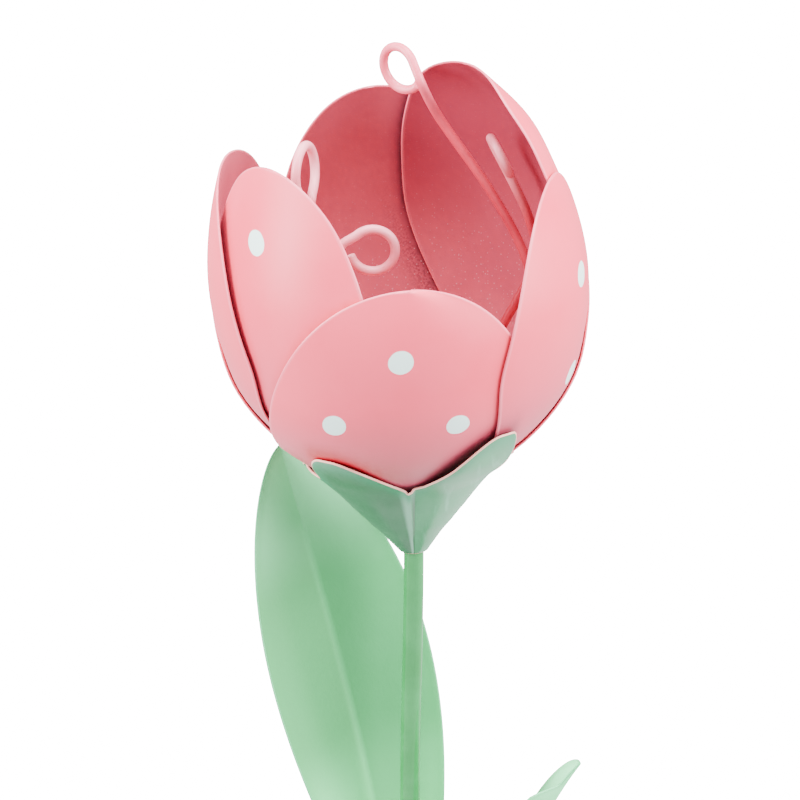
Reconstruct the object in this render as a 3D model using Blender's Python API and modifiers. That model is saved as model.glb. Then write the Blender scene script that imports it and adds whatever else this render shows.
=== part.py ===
"""Metal tulip garden stake: eight pressed petals round wire stamens, on a rod with two leaves.

Metres, +Z up. The origin is on the soil line, under the middle of the ground fork's crossbar.
The flower's head has its own frame, with its origin where the stem enters the calyx.
Azimuths are in degrees: 0 is the front (-Y) and +90 is the right (+X).
"""
import math

import bmesh
import bpy
import numpy as np
from mathutils import Matrix, Vector

# Sheet metal, and the gaps that pieces keep
SHEET = 0.0007
LAYER_GAP = 0.00045
CLEARANCE = 0.0003

# Stem
STEM_DIAMETER = 0.006
STEM_SIDES_RESOLUTION = 6
CALYX_HEIGHT = 0.608
STEM_BOW = 0.0011
STEM_BOW_LENGTH = 0.080
STEM_BOW_STEPS = 8
HEAD_LEAN = 2.3

# Wall of the cup that the petals are pressed to: height, and distance out from the stem's surface
CUP_WALL = (
    (0.000, -0.0025),
    (0.010, 0.0025),
    (0.020, 0.0100),
    (0.030, 0.0190),
    (0.042, 0.0334),
    (0.055, 0.0437),
    (0.070, 0.0485),
    (0.088, 0.0502),
    (0.104, 0.0478),
    (0.118, 0.0433),
    (0.132, 0.0370),
    (0.150, 0.0214),
)
WALL_SAMPLES = 301
CURVE_SAMPLES = 16

# Petal blanks; the tilt of a tip grows with this power of the distance along the petal
PETAL_ROW_STEP = 0.009
PETAL_TIP_ROWS = 5
PETAL_LAST_ROW = 0.999
TILT_POWER = 3
# kind: columns of the grid, start and width of the root, share of the length that is widest, narrowing
PETAL_KINDS = {
    "tall": (12, 0.012, 0.0064, 0.67, 3.4),
    "short": (16, 0.014, 0.0120, 0.49, 2.0),
}

# Layers of the petals are counted outwards from the cup's wall, one sheet and one gap each
# name: kind, azimuth, length, width, skew, tilt of the tip outwards, layer, layers per degree, side let in
PETALS = {
    "petal_tall_front_left": ("tall", -41.0, 0.1485, 0.0694, -22.0, 0.0042, 0.0, 0.0, 0),
    "petal_tall_left": ("tall", -94.0, 0.1390, 0.0774, -19.2, 0.0055, 1.0, 0.0, 0),
    "petal_tall_back_left": ("tall", -171.4, 0.1528, 0.0652, -0.4, 0.0003, 1.0, 0.0, 0),
    "petal_tall_back_right": ("tall", 131.9, 0.1725, 0.0936, -22.8, -0.0008, 0.0, -0.004, 0),
    "petal_tall_right": ("tall", 61.8, 0.1390, 0.0626, 25.6, -0.0007, 1.4, 0.0, 0),
    "petal_short_front": ("short", -0.9, 0.1186, 0.0920, 7.2, 0.0016, 1.23, -0.031, 1),
    "petal_short_back_left": ("short", -136.5, 0.1210, 0.0956, -8.4, 0.0044, 2.1, 0.0, -1),
    "petal_short_back_right": ("short", 135.1, 0.1195, 0.0942, 0.5, -0.0010, 2.9, 0.006, 1),
}

# Calyx: height on the cup's wall and the layer it takes there
CALYX_LAYERS = (
    (0.008, 3.6),
    (0.014, 4.4),
    (0.020, 4.6),
    (0.030, 4.4),
    (0.036, 4.25),
    (0.042, 3.75),
    (0.052, 2.6),
)
# It bulges to one side, most at this height, and lies closer to the petal at the front
CALYX_BULGE_LAYERS = 0.9
CALYX_BULGE_AZIMUTH = -110.0
CALYX_BULGE_HEIGHT = 0.030
CALYX_BULGE_FADE = 0.012
CALYX_DIP_LAYERS = 1.6
CALYX_DIP_AZIMUTH = -2.0
CALYX_DIP_HALF_ANGLE = 20.0
CALYX_NECK_RADIUS = 0.0041
CALYX_NECK_HEIGHT = 0.0010
CALYX_VALLEY = 0.0345
CALYX_FRONT_NOTCH = 0.0033
CALYX_FRONT_NOTCH_HALF_ANGLE = 24.0
CALYX_COLUMNS = 56
CALYX_ROWS = 8
PLEAT_HEIGHT = 0.0009
PLEAT_HALF_ANGLE = 4.0
# Sepals: how far one stands above the valleys, and the azimuths where it starts to rise,
# where its top starts, where its top ends and where it is down again
SEPALS = (
    (0.0167, 8.0, 36.0, 41.0, 54.0),
    (0.0050, 98.0, 127.0, 143.0, 172.0),
    (0.0050, -172.0, -143.0, -127.0, -98.0),
    (0.0103, -60.0, -38.0, -33.0, -6.0),
)

# Collar that carries the petals and the stamens
COLLAR_BOTTOM = 0.008
COLLAR_TOP = 0.016
COLLAR_STEPS = 32
COLLAR_INSET_LAYERS = 0.2

# Stamens: wires that stand on the collar and end in a closed loop
WIRE_DIAMETER = 0.0028
WIRE_SIDES_RESOLUTION = 2
WIRE_STEP = 0.0060
LOOP_POINTS = 24
LOOP_GAP = 0.0004
LOOP_LEAD = 0.006
STAMEN_CIRCLE = 0.0060
STAMEN_FOOT_LENGTH = 0.006
# name: azimuth of the foot, route up from it, middle of the loop, azimuth that the loop's
# right-hand side points to, lean of the loop to the left, angle where it starts, its turn,
# its radius, and whether its end slides aside to lie beside its start
STAMENS = {
    "stamen_tall": (60.0, (
        (0.014, -0.002, 0.032),
        (0.030, -0.002, 0.055),
        (0.0375, 0.001, 0.075),
        (0.0364, 0.004, 0.0897),
        (0.0271, 0.009, 0.1086),
        (0.0128, 0.015, 0.1301),
    ), (0.0010, 0.0190, 0.1443), 50.0, 0.0, 25.0, 290.0, 0.0068, True),
    "stamen_left": (-140.0, (
        (-0.012, 0.010, 0.036),
        (-0.024, 0.012, 0.062),
        (-0.0275, 0.013, 0.088),
    ), (-0.0258, 0.0100, 0.1177), 165.0, 0.0, -65.0, 310.0, 0.0068, True),
    "stamen_round": (-60.0, (
        (-0.012, -0.004, 0.030),
        (-0.0205, -0.006, 0.052),
        (-0.0225, -0.004, 0.074),
    ), (-0.0085, 0.000, 0.0946), 90.0, 0.0, 130.0, -295.0, 0.0068, True),
    "stamen_right": (140.0, (
        (0.012, 0.012, 0.036),
        (0.028, 0.018, 0.062),
        (0.0390, 0.0205, 0.082),
        (0.0382, 0.0220, 0.0950),
    ), (0.0302, 0.0200, 0.1160), 190.0, 24.0, -15.0, 250.0, 0.0060, False),
}

# Leaves: sheet blanks with a pressed midrib, whose feet wrap the stem
LEAF_WIDTH = 0.056
LEAF_WIDEST = 0.40
LEAF_TIP_POWER = 1.25
LEAF_FOOT_POWER = 1.1
LEAF_FOOT_HALF_ANGLE = 100.0
LEAF_FOOT_LENGTH = 0.012
LEAF_SPREAD_LENGTH = 0.040
LEAF_ROWS = 18
LEAF_ROW_SPACING_POWER = 1.2
LEAF_LAST_ROW = 0.9995
LEAF_COLUMNS = 10
# Where a narrowed tip ends and the half starts to widen, from the tip, and over what length
LEAF_TIP_NARROW_LENGTH = 0.0080
LEAF_TIP_WIDENING_LENGTH = 0.0045
# name: height of the foot below the calyx, azimuth of its right-hand edge, bend of the left and
# right halves, share of its width that the right half keeps at the tip,
# and the midrib's middle and tip as (right, out, up)
LEAVES = {
    "leaf_left": (0.141, 90.0, 44.0, 6.0, 1.0, (-0.016, 0.014, 0.088), (-0.0392, 0.0104, 0.169)),
    "leaf_right": (0.222, 0.0, 3.0, 42.0, 0.2, (0.002, 0.019, 0.114), (0.012, 0.0473, 0.1581)),
}
LEAF_WELD_HEIGHT = 0.0030
LEAF_WELD_WIDTH = 0.0012

# Ground fork: one bent strip
FORK_SPAN = 0.060
FORK_STRIP_WIDTH = 0.012
FORK_STRIP_THICKNESS = 0.003
FORK_BEND_RADIUS = 0.003
FORK_BEND_STEPS = 6
FORK_PRONG_LENGTH = 0.150
FORK_POINT_LENGTH = 0.018
FORK_POINT_WIDTH = 0.0006
FORK_WELD_HEIGHT = 0.0035
FORK_WELD_WIDTH = 0.0022
WELD_STEPS = 24
# Outer side of a weld bead from its top down: share of its width, and share of its height
WELD_SIDE = (
    (0.35, 1.0),
    (0.85, 0.55),
    (1.0, 0.0),
)

LAYER_PITCH = SHEET + LAYER_GAP
STEM_RADIUS = STEM_DIAMETER / 2
BORE_RADIUS = STEM_RADIUS + CLEARANCE


def clear_scene():
    for obj in list(bpy.data.objects):
        bpy.data.objects.remove(obj, do_unlink=True)


def new_collection(name):
    collection = bpy.data.collections.new(name)
    bpy.context.scene.collection.children.link(collection)
    return collection


def principled(name, colour, roughness, metallic):
    material = bpy.data.materials.new(name)
    material.use_nodes = True
    shader = material.node_tree.nodes["Principled BSDF"]
    shader.inputs["Base Color"].default_value = (*colour, 1.0)
    shader.inputs["Roughness"].default_value = roughness
    shader.inputs["Metallic"].default_value = metallic
    material.diffuse_color = (*colour, 1.0)
    return material


def add_object(name, data, material, parent=None):
    obj = bpy.data.objects.new(name, data)
    PARTS.objects.link(obj)
    obj.data.materials.append(material)
    obj.parent = parent
    return obj


def smooth(mesh, angle=40.0):
    mesh.shade_smooth()
    mesh.set_sharp_from_angle(angle=math.radians(angle))


def smooth_step(value):
    t = min(max(value, 0.0), 1.0)
    return t * t * (3 - 2 * t)


def around(radius, azimuth, height):
    """Point at a radius, an azimuth in degrees from the front, and a height."""
    angle = math.radians(azimuth)
    return Vector((radius * math.sin(angle), -radius * math.cos(angle), height))


def sheet_grid(name, rows, material, parent=None, closed=False):
    """Sheet-metal piece through a grid of points, with its thickness half to each side."""
    bm = bmesh.new()
    grid = [[bm.verts.new(point) for point in row] for row in rows]
    count = len(grid[0])
    last = count if closed else count - 1
    for lower, upper in zip(grid, grid[1:]):
        for i in range(last):
            j = (i + 1) % count
            bm.faces.new((lower[i], lower[j], upper[j], upper[i]))
    mesh = bpy.data.meshes.new(name)
    bm.to_mesh(mesh)
    bm.free()
    smooth(mesh)
    obj = add_object(name, mesh, material, parent)
    solidify = obj.modifiers.new("sheet", "SOLIDIFY")
    solidify.thickness = SHEET
    solidify.offset = 0.0
    return obj


def turned(name, profile, material, steps, parent=None):
    """Ring turned about its own Z axis, from a closed profile that runs down its outer side."""
    mesh = bpy.data.meshes.new(name)
    count = len(profile)
    edges = [(i, (i + 1) % count) for i in range(count)]
    mesh.from_pydata([(radius, 0.0, height) for radius, height in profile], edges, [])
    obj = add_object(name, mesh, material, parent)
    screw = obj.modifiers.new("turn", "SCREW")
    screw.steps = steps
    screw.render_steps = steps
    screw.use_merge_vertices = True
    screw.merge_threshold = 0.00001
    screw.use_smooth_shade = False
    return obj


def wire(name, points, diameter, resolution, material, parent=None):
    """Round wire or rod along a list of points."""
    curve = bpy.data.curves.new(name, "CURVE")
    curve.dimensions = "3D"
    curve.bevel_depth = diameter / 2
    curve.bevel_resolution = resolution
    curve.use_fill_caps = True
    spline = curve.splines.new("POLY")
    spline.points.add(len(points) - 1)
    for slot, point in zip(spline.points, points):
        slot.co = (*point, 1.0)
    spline.use_smooth = True
    return add_object(name, curve, material, parent)


def hermite(heights, values, targets):
    """Smooth curve through the given values, read at the target heights."""
    slopes = np.gradient(values, heights)
    k = np.clip(np.searchsorted(heights, targets, side="right") - 1, 0, len(heights) - 2)
    step = heights[k + 1] - heights[k]
    t = (targets - heights[k]) / step
    start = (2 * t**3 - 3 * t**2 + 1) * values[k] + (t**3 - 2 * t**2 + t) * step * slopes[k]
    end = (3 * t**2 - 2 * t**3) * values[k + 1] + (t**3 - t**2) * step * slopes[k + 1]
    return start + end


def cup_wall():
    """Distance along the cup's wall, with the radius, height and outward normal there."""
    heights = np.array([height for height, _ in CUP_WALL])
    radii = np.array([STEM_RADIUS + out for _, out in CUP_WALL])
    z = np.linspace(heights[0], heights[-1], WALL_SAMPLES)
    r = hermite(heights, radii, z)
    s = np.concatenate([[0.0], np.cumsum(np.hypot(np.diff(z), np.diff(r)))])
    slope_r = np.gradient(r, s)
    slope_z = np.gradient(z, s)
    size = np.hypot(slope_r, slope_z)
    return s, r, z, slope_z / size, -slope_r / size


WALL = cup_wall()


def wall_at(distance):
    """Radius, height, and the normal's radial and vertical parts, at a distance along the wall."""
    s = WALL[0]
    return tuple(float(np.interp(distance, s, values)) for values in WALL[1:])


def wall_distance(height):
    return float(np.interp(height, WALL[2], WALL[0]))


def petal_half_width(s, kind, length, half):
    _, root_start, root_width, widest_share, power = PETAL_KINDS[kind]
    widest = widest_share * length
    if s > widest:
        return half * math.sqrt(max(0.0, 1 - ((s - widest) / (length - widest)) ** 2))
    t = (s - root_start) / (widest - root_start)
    return root_width / 2 + (half - root_width / 2) * math.sin(math.pi / 2 * t) ** power


def petal_rows(root_start, length):
    """Distances along the wall: common steps, so that layers nest, then closer ones round the tip."""
    first_step = math.floor(root_start / PETAL_ROW_STEP) + 1
    last_step = math.floor(length / PETAL_ROW_STEP) - 1
    rows = [root_start] + [step * PETAL_ROW_STEP for step in range(first_step, last_step)]
    last = rows[-1]
    for i in range(1, PETAL_TIP_ROWS + 1):
        rows.append(last + (length - last) * math.sin(math.pi / 2 * i / PETAL_TIP_ROWS))
    rows[-1] = last + (length - last) * PETAL_LAST_ROW
    return rows


def petal(name, spec, material):
    kind, azimuth, length, width, skew, tilt, layer, slope, let_in = spec
    columns, root_start = PETAL_KINDS[kind][:2]
    rows = []
    for s in petal_rows(root_start, length):
        r, z, nr, nz = wall_at(s)
        half = petal_half_width(s, kind, length, width / 2)
        row = []
        for i in range(columns + 1):
            across = 2 * i / columns - 1
            spread = math.degrees(across * half / (r + layer * LAYER_PITCH))
            turn = azimuth + skew * (s / length - 0.5) + spread
            fade = 1 - smooth_step(let_in * across)
            out = (layer + slope * (turn - azimuth)) * LAYER_PITCH
            out += tilt * fade * (s / length) ** TILT_POWER
            row.append(around(r + out * nr, turn, z + out * nz))
        rows.append(row)
    return sheet_grid(name, rows, material, HEAD)


def sepal_height(azimuth):
    """Height of the calyx's rim on the cup's wall."""
    place = (azimuth + 180) % 360 - 180
    notch = 1 - smooth_step(abs(place) / CALYX_FRONT_NOTCH_HALF_ANGLE)
    height = CALYX_VALLEY - CALYX_FRONT_NOTCH * notch
    for rise, start, top_start, top_end, end in SEPALS:
        up = smooth_step((place - start) / (top_start - start))
        down = smooth_step((place - top_end) / (end - top_end))
        height += rise * (up - down)
    return height


def calyx_layer(azimuth, height):
    """Layer, counted out from the cup's wall, that the calyx takes at an azimuth and a height."""
    heights = [level for level, _ in CALYX_LAYERS]
    layers = [layer for _, layer in CALYX_LAYERS]
    growth = min(1.0, height / CALYX_BULGE_HEIGHT)
    fade = 1 - smooth_step((height - CALYX_BULGE_HEIGHT) / CALYX_BULGE_FADE)
    bulge = CALYX_BULGE_LAYERS * fade * math.cos(math.radians(azimuth - CALYX_BULGE_AZIMUTH))
    from_dip = (azimuth - CALYX_DIP_AZIMUTH + 180) % 360 - 180
    dip = CALYX_DIP_LAYERS * math.exp(-(from_dip / CALYX_DIP_HALF_ANGLE) ** 4)
    return float(np.interp(height, heights, layers)) + growth * (bulge - dip)


def calyx(material):
    """Cone over the petals' roots, with a pinched pleat between each two sepals."""
    bottom = CALYX_LAYERS[0][0]
    rows = []
    for row_number in range(CALYX_ROWS + 1):
        row = []
        for column in range(CALYX_COLUMNS):
            azimuth = 360 * column / CALYX_COLUMNS
            top = sepal_height(azimuth)
            height = bottom + (top - bottom) * row_number / CALYX_ROWS
            r, z, nr, nz = wall_at(wall_distance(height))
            from_pleat = (azimuth + 45) % 90 - 45
            pinch = math.exp(-(from_pleat / PLEAT_HALF_ANGLE) ** 2)
            out = calyx_layer(azimuth, height) * LAYER_PITCH
            out += PLEAT_HEIGHT * pinch * row_number / CALYX_ROWS
            row.append(around(r + out * nr, azimuth, z + out * nz))
        rows.append(row)
    neck = []
    for column in range(CALYX_COLUMNS):
        neck.append(around(CALYX_NECK_RADIUS, 360 * column / CALYX_COLUMNS, CALYX_NECK_HEIGHT))
    return sheet_grid("calyx", [neck] + rows, material, HEAD, closed=True)


def collar(material):
    """Turned ring on the stem's end, whose side follows the petals' roots. Gives its top's height."""
    inset = SHEET / 2 + CLEARANCE + COLLAR_INSET_LAYERS * LAYER_PITCH
    side = []
    for height in (COLLAR_TOP, (COLLAR_TOP + COLLAR_BOTTOM) / 2, COLLAR_BOTTOM):
        r, z, nr, nz = wall_at(wall_distance(height))
        side.append((r - inset * nr, z - inset * nz))
    profile = side + [(BORE_RADIUS, side[-1][1]), (BORE_RADIUS, side[0][1])]
    turned("petal_collar", profile, material, COLLAR_STEPS, HEAD)
    return side[0][1]


def catmull_rom(points, step):
    """Points at even steps along a smooth curve through the given points."""
    padded = [2 * points[0] - points[1]] + points + [2 * points[-1] - points[-2]]
    dense = []
    for a, b, c, d in zip(padded, padded[1:], padded[2:], padded[3:]):
        for i in range(CURVE_SAMPLES):
            t = i / CURVE_SAMPLES
            dense.append(0.5 * (2 * b + (c - a) * t + (2 * a - 5 * b + 4 * c - d) * t**2
                                + (3 * b - a - 3 * c + d) * t**3))
    dense.append(points[-1])
    length = sum((q - p).length for p, q in zip(dense, dense[1:]))
    count = max(2, round(length / step))
    result = [dense[0]]
    target = length / count
    travelled = 0.0
    for p, q in zip(dense, dense[1:]):
        piece = (q - p).length
        while travelled + piece >= target and len(result) < count:
            result.append(p.lerp(q, (target - travelled) / piece))
            target += length / count
        travelled += piece
    result.append(dense[-1])
    return result


def loop_points(centre, facing, lean, start, turn, radius, slides):
    """Turn of wire about a centre, whose end can slide aside to lie beside its start."""
    right = around(1.0, facing, 0.0)
    tilt = math.radians(lean)
    up = Vector((-math.sin(tilt), 0.0, math.cos(tilt)))
    aside = right.cross(up).normalized()
    drift = WIRE_DIAMETER + LOOP_GAP if slides else 0.0
    points = []
    for i in range(LOOP_POINTS + 1):
        share = i / LOOP_POINTS
        angle = math.radians(start + turn * share)
        flat = math.cos(angle) * right + math.sin(angle) * up
        points.append(centre + radius * flat - drift * share * aside)
    return points


def stamen(name, spec, foot_height, material):
    """Wire from the collar's top along a route, and then round a loop."""
    foot_azimuth, route, centre, *bend = spec
    foot = around(STAMEN_CIRCLE, foot_azimuth, foot_height)
    above = foot + Vector((0.0, 0.0, STAMEN_FOOT_LENGTH))
    loop = loop_points(Vector(centre), *bend)
    lead = loop[0] - (loop[1] - loop[0]).normalized() * LOOP_LEAD
    shaft = catmull_rom([foot, above] + [Vector(point) for point in route] + [lead, loop[0]], WIRE_STEP)
    return wire(name, shaft + loop[1:], WIRE_DIAMETER, WIRE_SIDES_RESOLUTION, material, HEAD)


def leaf_half_width(from_tip):
    """Half the leaf's width, by the share of its length from the tip."""
    half = LEAF_WIDTH / 2
    foot = BORE_RADIUS * math.radians(LEAF_FOOT_HALF_ANGLE)
    if from_tip < LEAF_WIDEST:
        t = 1 - from_tip / LEAF_WIDEST
        return half * math.sqrt(max(0.0, 1 - t * t)) ** LEAF_TIP_POWER
    t = (from_tip - LEAF_WIDEST) / (1 - LEAF_WIDEST)
    return foot + (half - foot) * max(0.0, math.cos(math.pi / 2 * t)) ** LEAF_FOOT_POWER


def bezier_by_length(start, middle, end, shares):
    """Points and directions on a quadratic curve, at shares of its length."""
    dense = np.linspace(0.0, 1.0, 201)
    curve = [start * (1 - t) ** 2 + middle * 2 * t * (1 - t) + end * t * t for t in dense]
    lengths = np.cumsum([0.0] + [(q - p).length for p, q in zip(curve, curve[1:])])
    result = []
    for share in shares:
        t = float(np.interp(share * lengths[-1], lengths, dense))
        point = start * (1 - t) ** 2 + middle * 2 * t * (1 - t) + end * t * t
        direction = ((middle - start) * (1 - t) + (end - middle) * t).normalized()
        result.append((point, direction))
    return result, float(lengths[-1])


def leaf(name, spec, material):
    drop, right_azimuth, left_bend, right_bend, tip_share, middle, tip = spec
    height = CALYX_HEIGHT - drop
    right = around(1.0, right_azimuth, 0.0)
    inward = right.cross(Vector((0.0, 0.0, 1.0)))
    foot_radius = BORE_RADIUS + SHEET / 2
    foot = Vector((0.0, 0.0, height)) - foot_radius * inward

    def place(offsets):
        side, out, up = offsets
        return foot + right * side - inward * out + Vector((0.0, 0.0, up))

    quarter = math.pi / 2
    shares = [math.sin(quarter * i / LEAF_ROWS) ** LEAF_ROW_SPACING_POWER for i in range(LEAF_ROWS)]
    shares.append(LEAF_LAST_ROW)
    midrib, length = bezier_by_length(foot, place(middle), place(tip), shares)
    rows = []
    for share, (point, direction) in zip(shares, midrib):
        half = leaf_half_width(1 - share)
        widening = smooth_step(((1 - share) * length - LEAF_TIP_NARROW_LENGTH) / LEAF_TIP_WIDENING_LENGTH)
        right_half = half * (tip_share + (1 - tip_share) * widening)
        level_side = (right - direction * right.dot(direction)).normalized()
        valley = level_side.cross(direction).normalized()
        spread = smooth_step((share * length - LEAF_FOOT_LENGTH) / LEAF_SPREAD_LENGTH)
        row = []
        for i in range(LEAF_COLUMNS + 1):
            across = 2 * i / LEAF_COLUMNS - 1
            bend = math.radians(right_bend if across > 0 else left_bend)
            reach = right_half if across > 0 else half
            flat = point + reach * (across * math.cos(bend) * level_side + abs(across) * math.sin(bend) * valley)
            wrap = math.radians(LEAF_FOOT_HALF_ANGLE) * across
            wrapped = Vector((0.0, 0.0, point.z)) + foot_radius * (math.sin(wrap) * right - math.cos(wrap) * inward)
            row.append(wrapped.lerp(flat, spread))
        rows.append(row)
    sheet_grid(name, rows, material)
    return height


def weld_ring(name, bottom, height, width, material):
    """Bead of weld round the stem, wide at its foot."""
    profile = [(BORE_RADIUS + width * out, height * up) for out, up in WELD_SIDE]
    profile += [(BORE_RADIUS, 0.0), (BORE_RADIUS, height)]
    ring = turned(name, profile, material, WELD_STEPS)
    ring.location.z = bottom
    return ring


def ground_fork(material):
    """Strip bent to a staple: the crossbar's underside is on the soil line, between two pointed prongs."""
    outer = FORK_SPAN / 2
    inner = outer - FORK_STRIP_THICKNESS
    outer_bend = FORK_BEND_RADIUS + FORK_STRIP_THICKNESS
    bend_x = inner - FORK_BEND_RADIUS
    bend_z = -FORK_BEND_RADIUS
    prong_middle = outer - FORK_STRIP_THICKNESS / 2
    shoulder = -FORK_PRONG_LENGTH + FORK_POINT_LENGTH
    half_point = FORK_POINT_WIDTH / 2
    right_half = []
    for i in range(FORK_BEND_STEPS + 1):
        angle = math.radians(90 - 90 * i / FORK_BEND_STEPS)
        right_half.append((bend_x + outer_bend * math.cos(angle), bend_z + outer_bend * math.sin(angle)))
    right_half.append((outer, shoulder))
    right_half.append((prong_middle + half_point, -FORK_PRONG_LENGTH))
    right_half.append((prong_middle - half_point, -FORK_PRONG_LENGTH))
    right_half.append((inner, shoulder))
    for i in range(FORK_BEND_STEPS + 1):
        angle = math.radians(90 * i / FORK_BEND_STEPS)
        right_half.append((bend_x + FORK_BEND_RADIUS * math.cos(angle), bend_z + FORK_BEND_RADIUS * math.sin(angle)))
    outline = right_half + [(-x, z) for x, z in reversed(right_half)]
    curve = bpy.data.curves.new("ground_fork", "CURVE")
    curve.dimensions = "2D"
    curve.fill_mode = "BOTH"
    curve.extrude = FORK_STRIP_WIDTH / 2
    spline = curve.splines.new("POLY")
    spline.points.add(len(outline) - 1)
    for slot, (x, z) in zip(spline.points, outline):
        slot.co = (x, z, 0.0, 1.0)
    spline.use_cyclic_u = True
    obj = add_object("ground_fork", curve, material)
    obj.rotation_euler = (math.radians(90), 0.0, 0.0)
    return obj


def stem(bottom, top, material):
    """Rod from the crossbar up to the collar, with the slight bow that it has below the flower."""
    bow_start = CALYX_HEIGHT - STEM_BOW_LENGTH
    points = [Vector((0.0, 0.0, bottom))]
    for i in range(STEM_BOW_STEPS + 1):
        share = i / STEM_BOW_STEPS
        offset = STEM_BOW * (1 - math.cos(math.pi * share)) / 2
        points.append(Vector((offset, 0.0, bow_start + share * STEM_BOW_LENGTH)))
    points.append(HEAD_MATRIX @ Vector((0.0, 0.0, top)))
    return wire("stem", points, STEM_DIAMETER, STEM_SIDES_RESOLUTION, material)


clear_scene()
PARTS = new_collection("metal_tulip_garden_stake")
HEAD = bpy.data.objects.new("head", None)
PARTS.objects.link(HEAD)
HEAD.location = (STEM_BOW, 0.0, CALYX_HEIGHT)
HEAD.rotation_euler = (0.0, -math.radians(HEAD_LEAN), 0.0)
HEAD_MATRIX = Matrix.Translation(HEAD.location) @ HEAD.rotation_euler.to_matrix().to_4x4()

PINK = principled("petal_pink", (0.86, 0.42, 0.46), 0.42, 0.0)
STAMEN_PINK = principled("stamen_pink", (0.88, 0.50, 0.55), 0.40, 0.0)
CALYX_GREEN = principled("calyx_green", (0.29, 0.50, 0.36), 0.40, 0.0)
LEAF_GREEN = principled("leaf_green", (0.27, 0.55, 0.33), 0.42, 0.0)
STEM_GREEN = principled("stem_green", (0.20, 0.44, 0.22), 0.38, 0.0)
WELD_GREEN = principled("weld_green", (0.17, 0.38, 0.20), 0.55, 0.0)

for petal_name, petal_spec in PETALS.items():
    petal(petal_name, petal_spec, PINK)
calyx(CALYX_GREEN)
COLLAR_TOP_FACE = collar(CALYX_GREEN)
for stamen_name, stamen_spec in STAMENS.items():
    stamen(stamen_name, stamen_spec, COLLAR_TOP_FACE + CLEARANCE, STAMEN_PINK)
stem(FORK_STRIP_THICKNESS + CLEARANCE, COLLAR_TOP_FACE, STEM_GREEN)
for leaf_name, leaf_spec in LEAVES.items():
    foot_height = leaf(leaf_name, leaf_spec, LEAF_GREEN)
    weld_bottom = foot_height - CLEARANCE - LEAF_WELD_HEIGHT
    weld_ring(leaf_name + "_weld", weld_bottom, LEAF_WELD_HEIGHT, LEAF_WELD_WIDTH, WELD_GREEN)
ground_fork(STEM_GREEN)
weld_ring("fork_weld", FORK_STRIP_THICKNESS + CLEARANCE, FORK_WELD_HEIGHT, FORK_WELD_WIDTH, WELD_GREEN)
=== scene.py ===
"""Metal tulip garden stake, dressed for a picture: fine sheet metal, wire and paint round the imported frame.

Metres, +Z up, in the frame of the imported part. The flower's head has its own frame, with its origin
where the stem enters the calyx. Azimuths are in degrees: 0 is the front (-Y) and +90 the right (+X).
"""
import math

import bmesh
import bpy
import numpy as np
from mathutils import Matrix, Vector


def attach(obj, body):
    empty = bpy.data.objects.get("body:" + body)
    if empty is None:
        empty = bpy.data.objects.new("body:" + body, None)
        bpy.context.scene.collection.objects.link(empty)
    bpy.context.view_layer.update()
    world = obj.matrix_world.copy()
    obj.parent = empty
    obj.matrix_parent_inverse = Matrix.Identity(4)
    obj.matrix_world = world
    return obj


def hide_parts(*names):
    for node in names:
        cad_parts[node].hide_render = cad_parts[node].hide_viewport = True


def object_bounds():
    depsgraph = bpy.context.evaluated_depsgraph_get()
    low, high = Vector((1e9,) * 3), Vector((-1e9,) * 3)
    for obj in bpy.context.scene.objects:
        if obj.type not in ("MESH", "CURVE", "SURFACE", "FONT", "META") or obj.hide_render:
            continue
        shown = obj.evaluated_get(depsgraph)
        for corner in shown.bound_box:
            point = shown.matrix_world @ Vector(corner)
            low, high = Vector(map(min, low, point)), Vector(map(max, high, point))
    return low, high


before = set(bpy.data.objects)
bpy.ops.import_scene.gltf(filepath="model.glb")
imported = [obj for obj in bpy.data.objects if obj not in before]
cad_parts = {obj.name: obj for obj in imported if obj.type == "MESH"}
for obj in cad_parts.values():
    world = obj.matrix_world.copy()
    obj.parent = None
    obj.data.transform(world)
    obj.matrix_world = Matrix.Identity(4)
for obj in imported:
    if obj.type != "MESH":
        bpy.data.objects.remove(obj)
CAD_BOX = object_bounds()

# Camera: scale at the flower, distance, angle above the horizon, how far it sees, and its sensor in mm
METRES_PER_PIXEL = 0.000296
CAMERA_DISTANCE = 2.0
CAMERA_ELEVATION = 20.0
CAMERA_REACH = 20.0
SENSOR_WIDTH = 36.0
# Pixels across the picture, and the pixel where the stem enters the calyx
PICTURE_PIXELS = 800
CALYX_FOOT_PIXEL = (413.9, 552.0)

# Floor: half its size, its gap below the object, and its tones
FLOOR_HALF_SIZE = 6.0
FLOOR_GAP = 0.001
FLOOR_TONES = ((0.40, 0.40, 0.40), (0.43, 0.43, 0.43))
FLOOR_ROUGHNESS = 0.9

# Light: glow of the floor as the camera sees it and as polished paint mirrors it, sky,
# and softboxes with their place, size and power
FLOOR_BACKLIGHT = 20.0
FLOOR_MIRRORED = 1.1
SKY_STRENGTH = 1.1
LIGHTS_AIM = (0.0, 0.0, 0.66)
SOFTBOXES = {
    "right_softbox": ((1.25, -0.45, 1.15), (0.9, 1.3), 70.0),
    "left_softbox": ((-1.25, -0.35, 1.05), (0.5, 1.3), 60.0),
    "top_softbox": ((0.0, -0.15, 2.0), (1.2, 1.2), 70.0),
}

# Sheet metal, and the gaps that pieces keep
SHEET = 0.0007
LAYER_PITCH = SHEET + 0.00045
CLEARANCE = 0.0003
RIM_RADIUS = 0.00042
RIM_STEPS = 4

# Stem
STEM_RADIUS = 0.003
STEM_SIDES = 40
STEM_STEPS = 29
STEM_BOW_STEPS = 24
STEM_END_ROUND = 0.1
STEM_BOTTOM = 0.0033
CALYX_HEIGHT = 0.608
STEM_BOW = 0.0011
STEM_BOW_LENGTH = 0.080
HEAD_LEAN = 2.3
BORE_RADIUS = STEM_RADIUS + CLEARANCE

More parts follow.
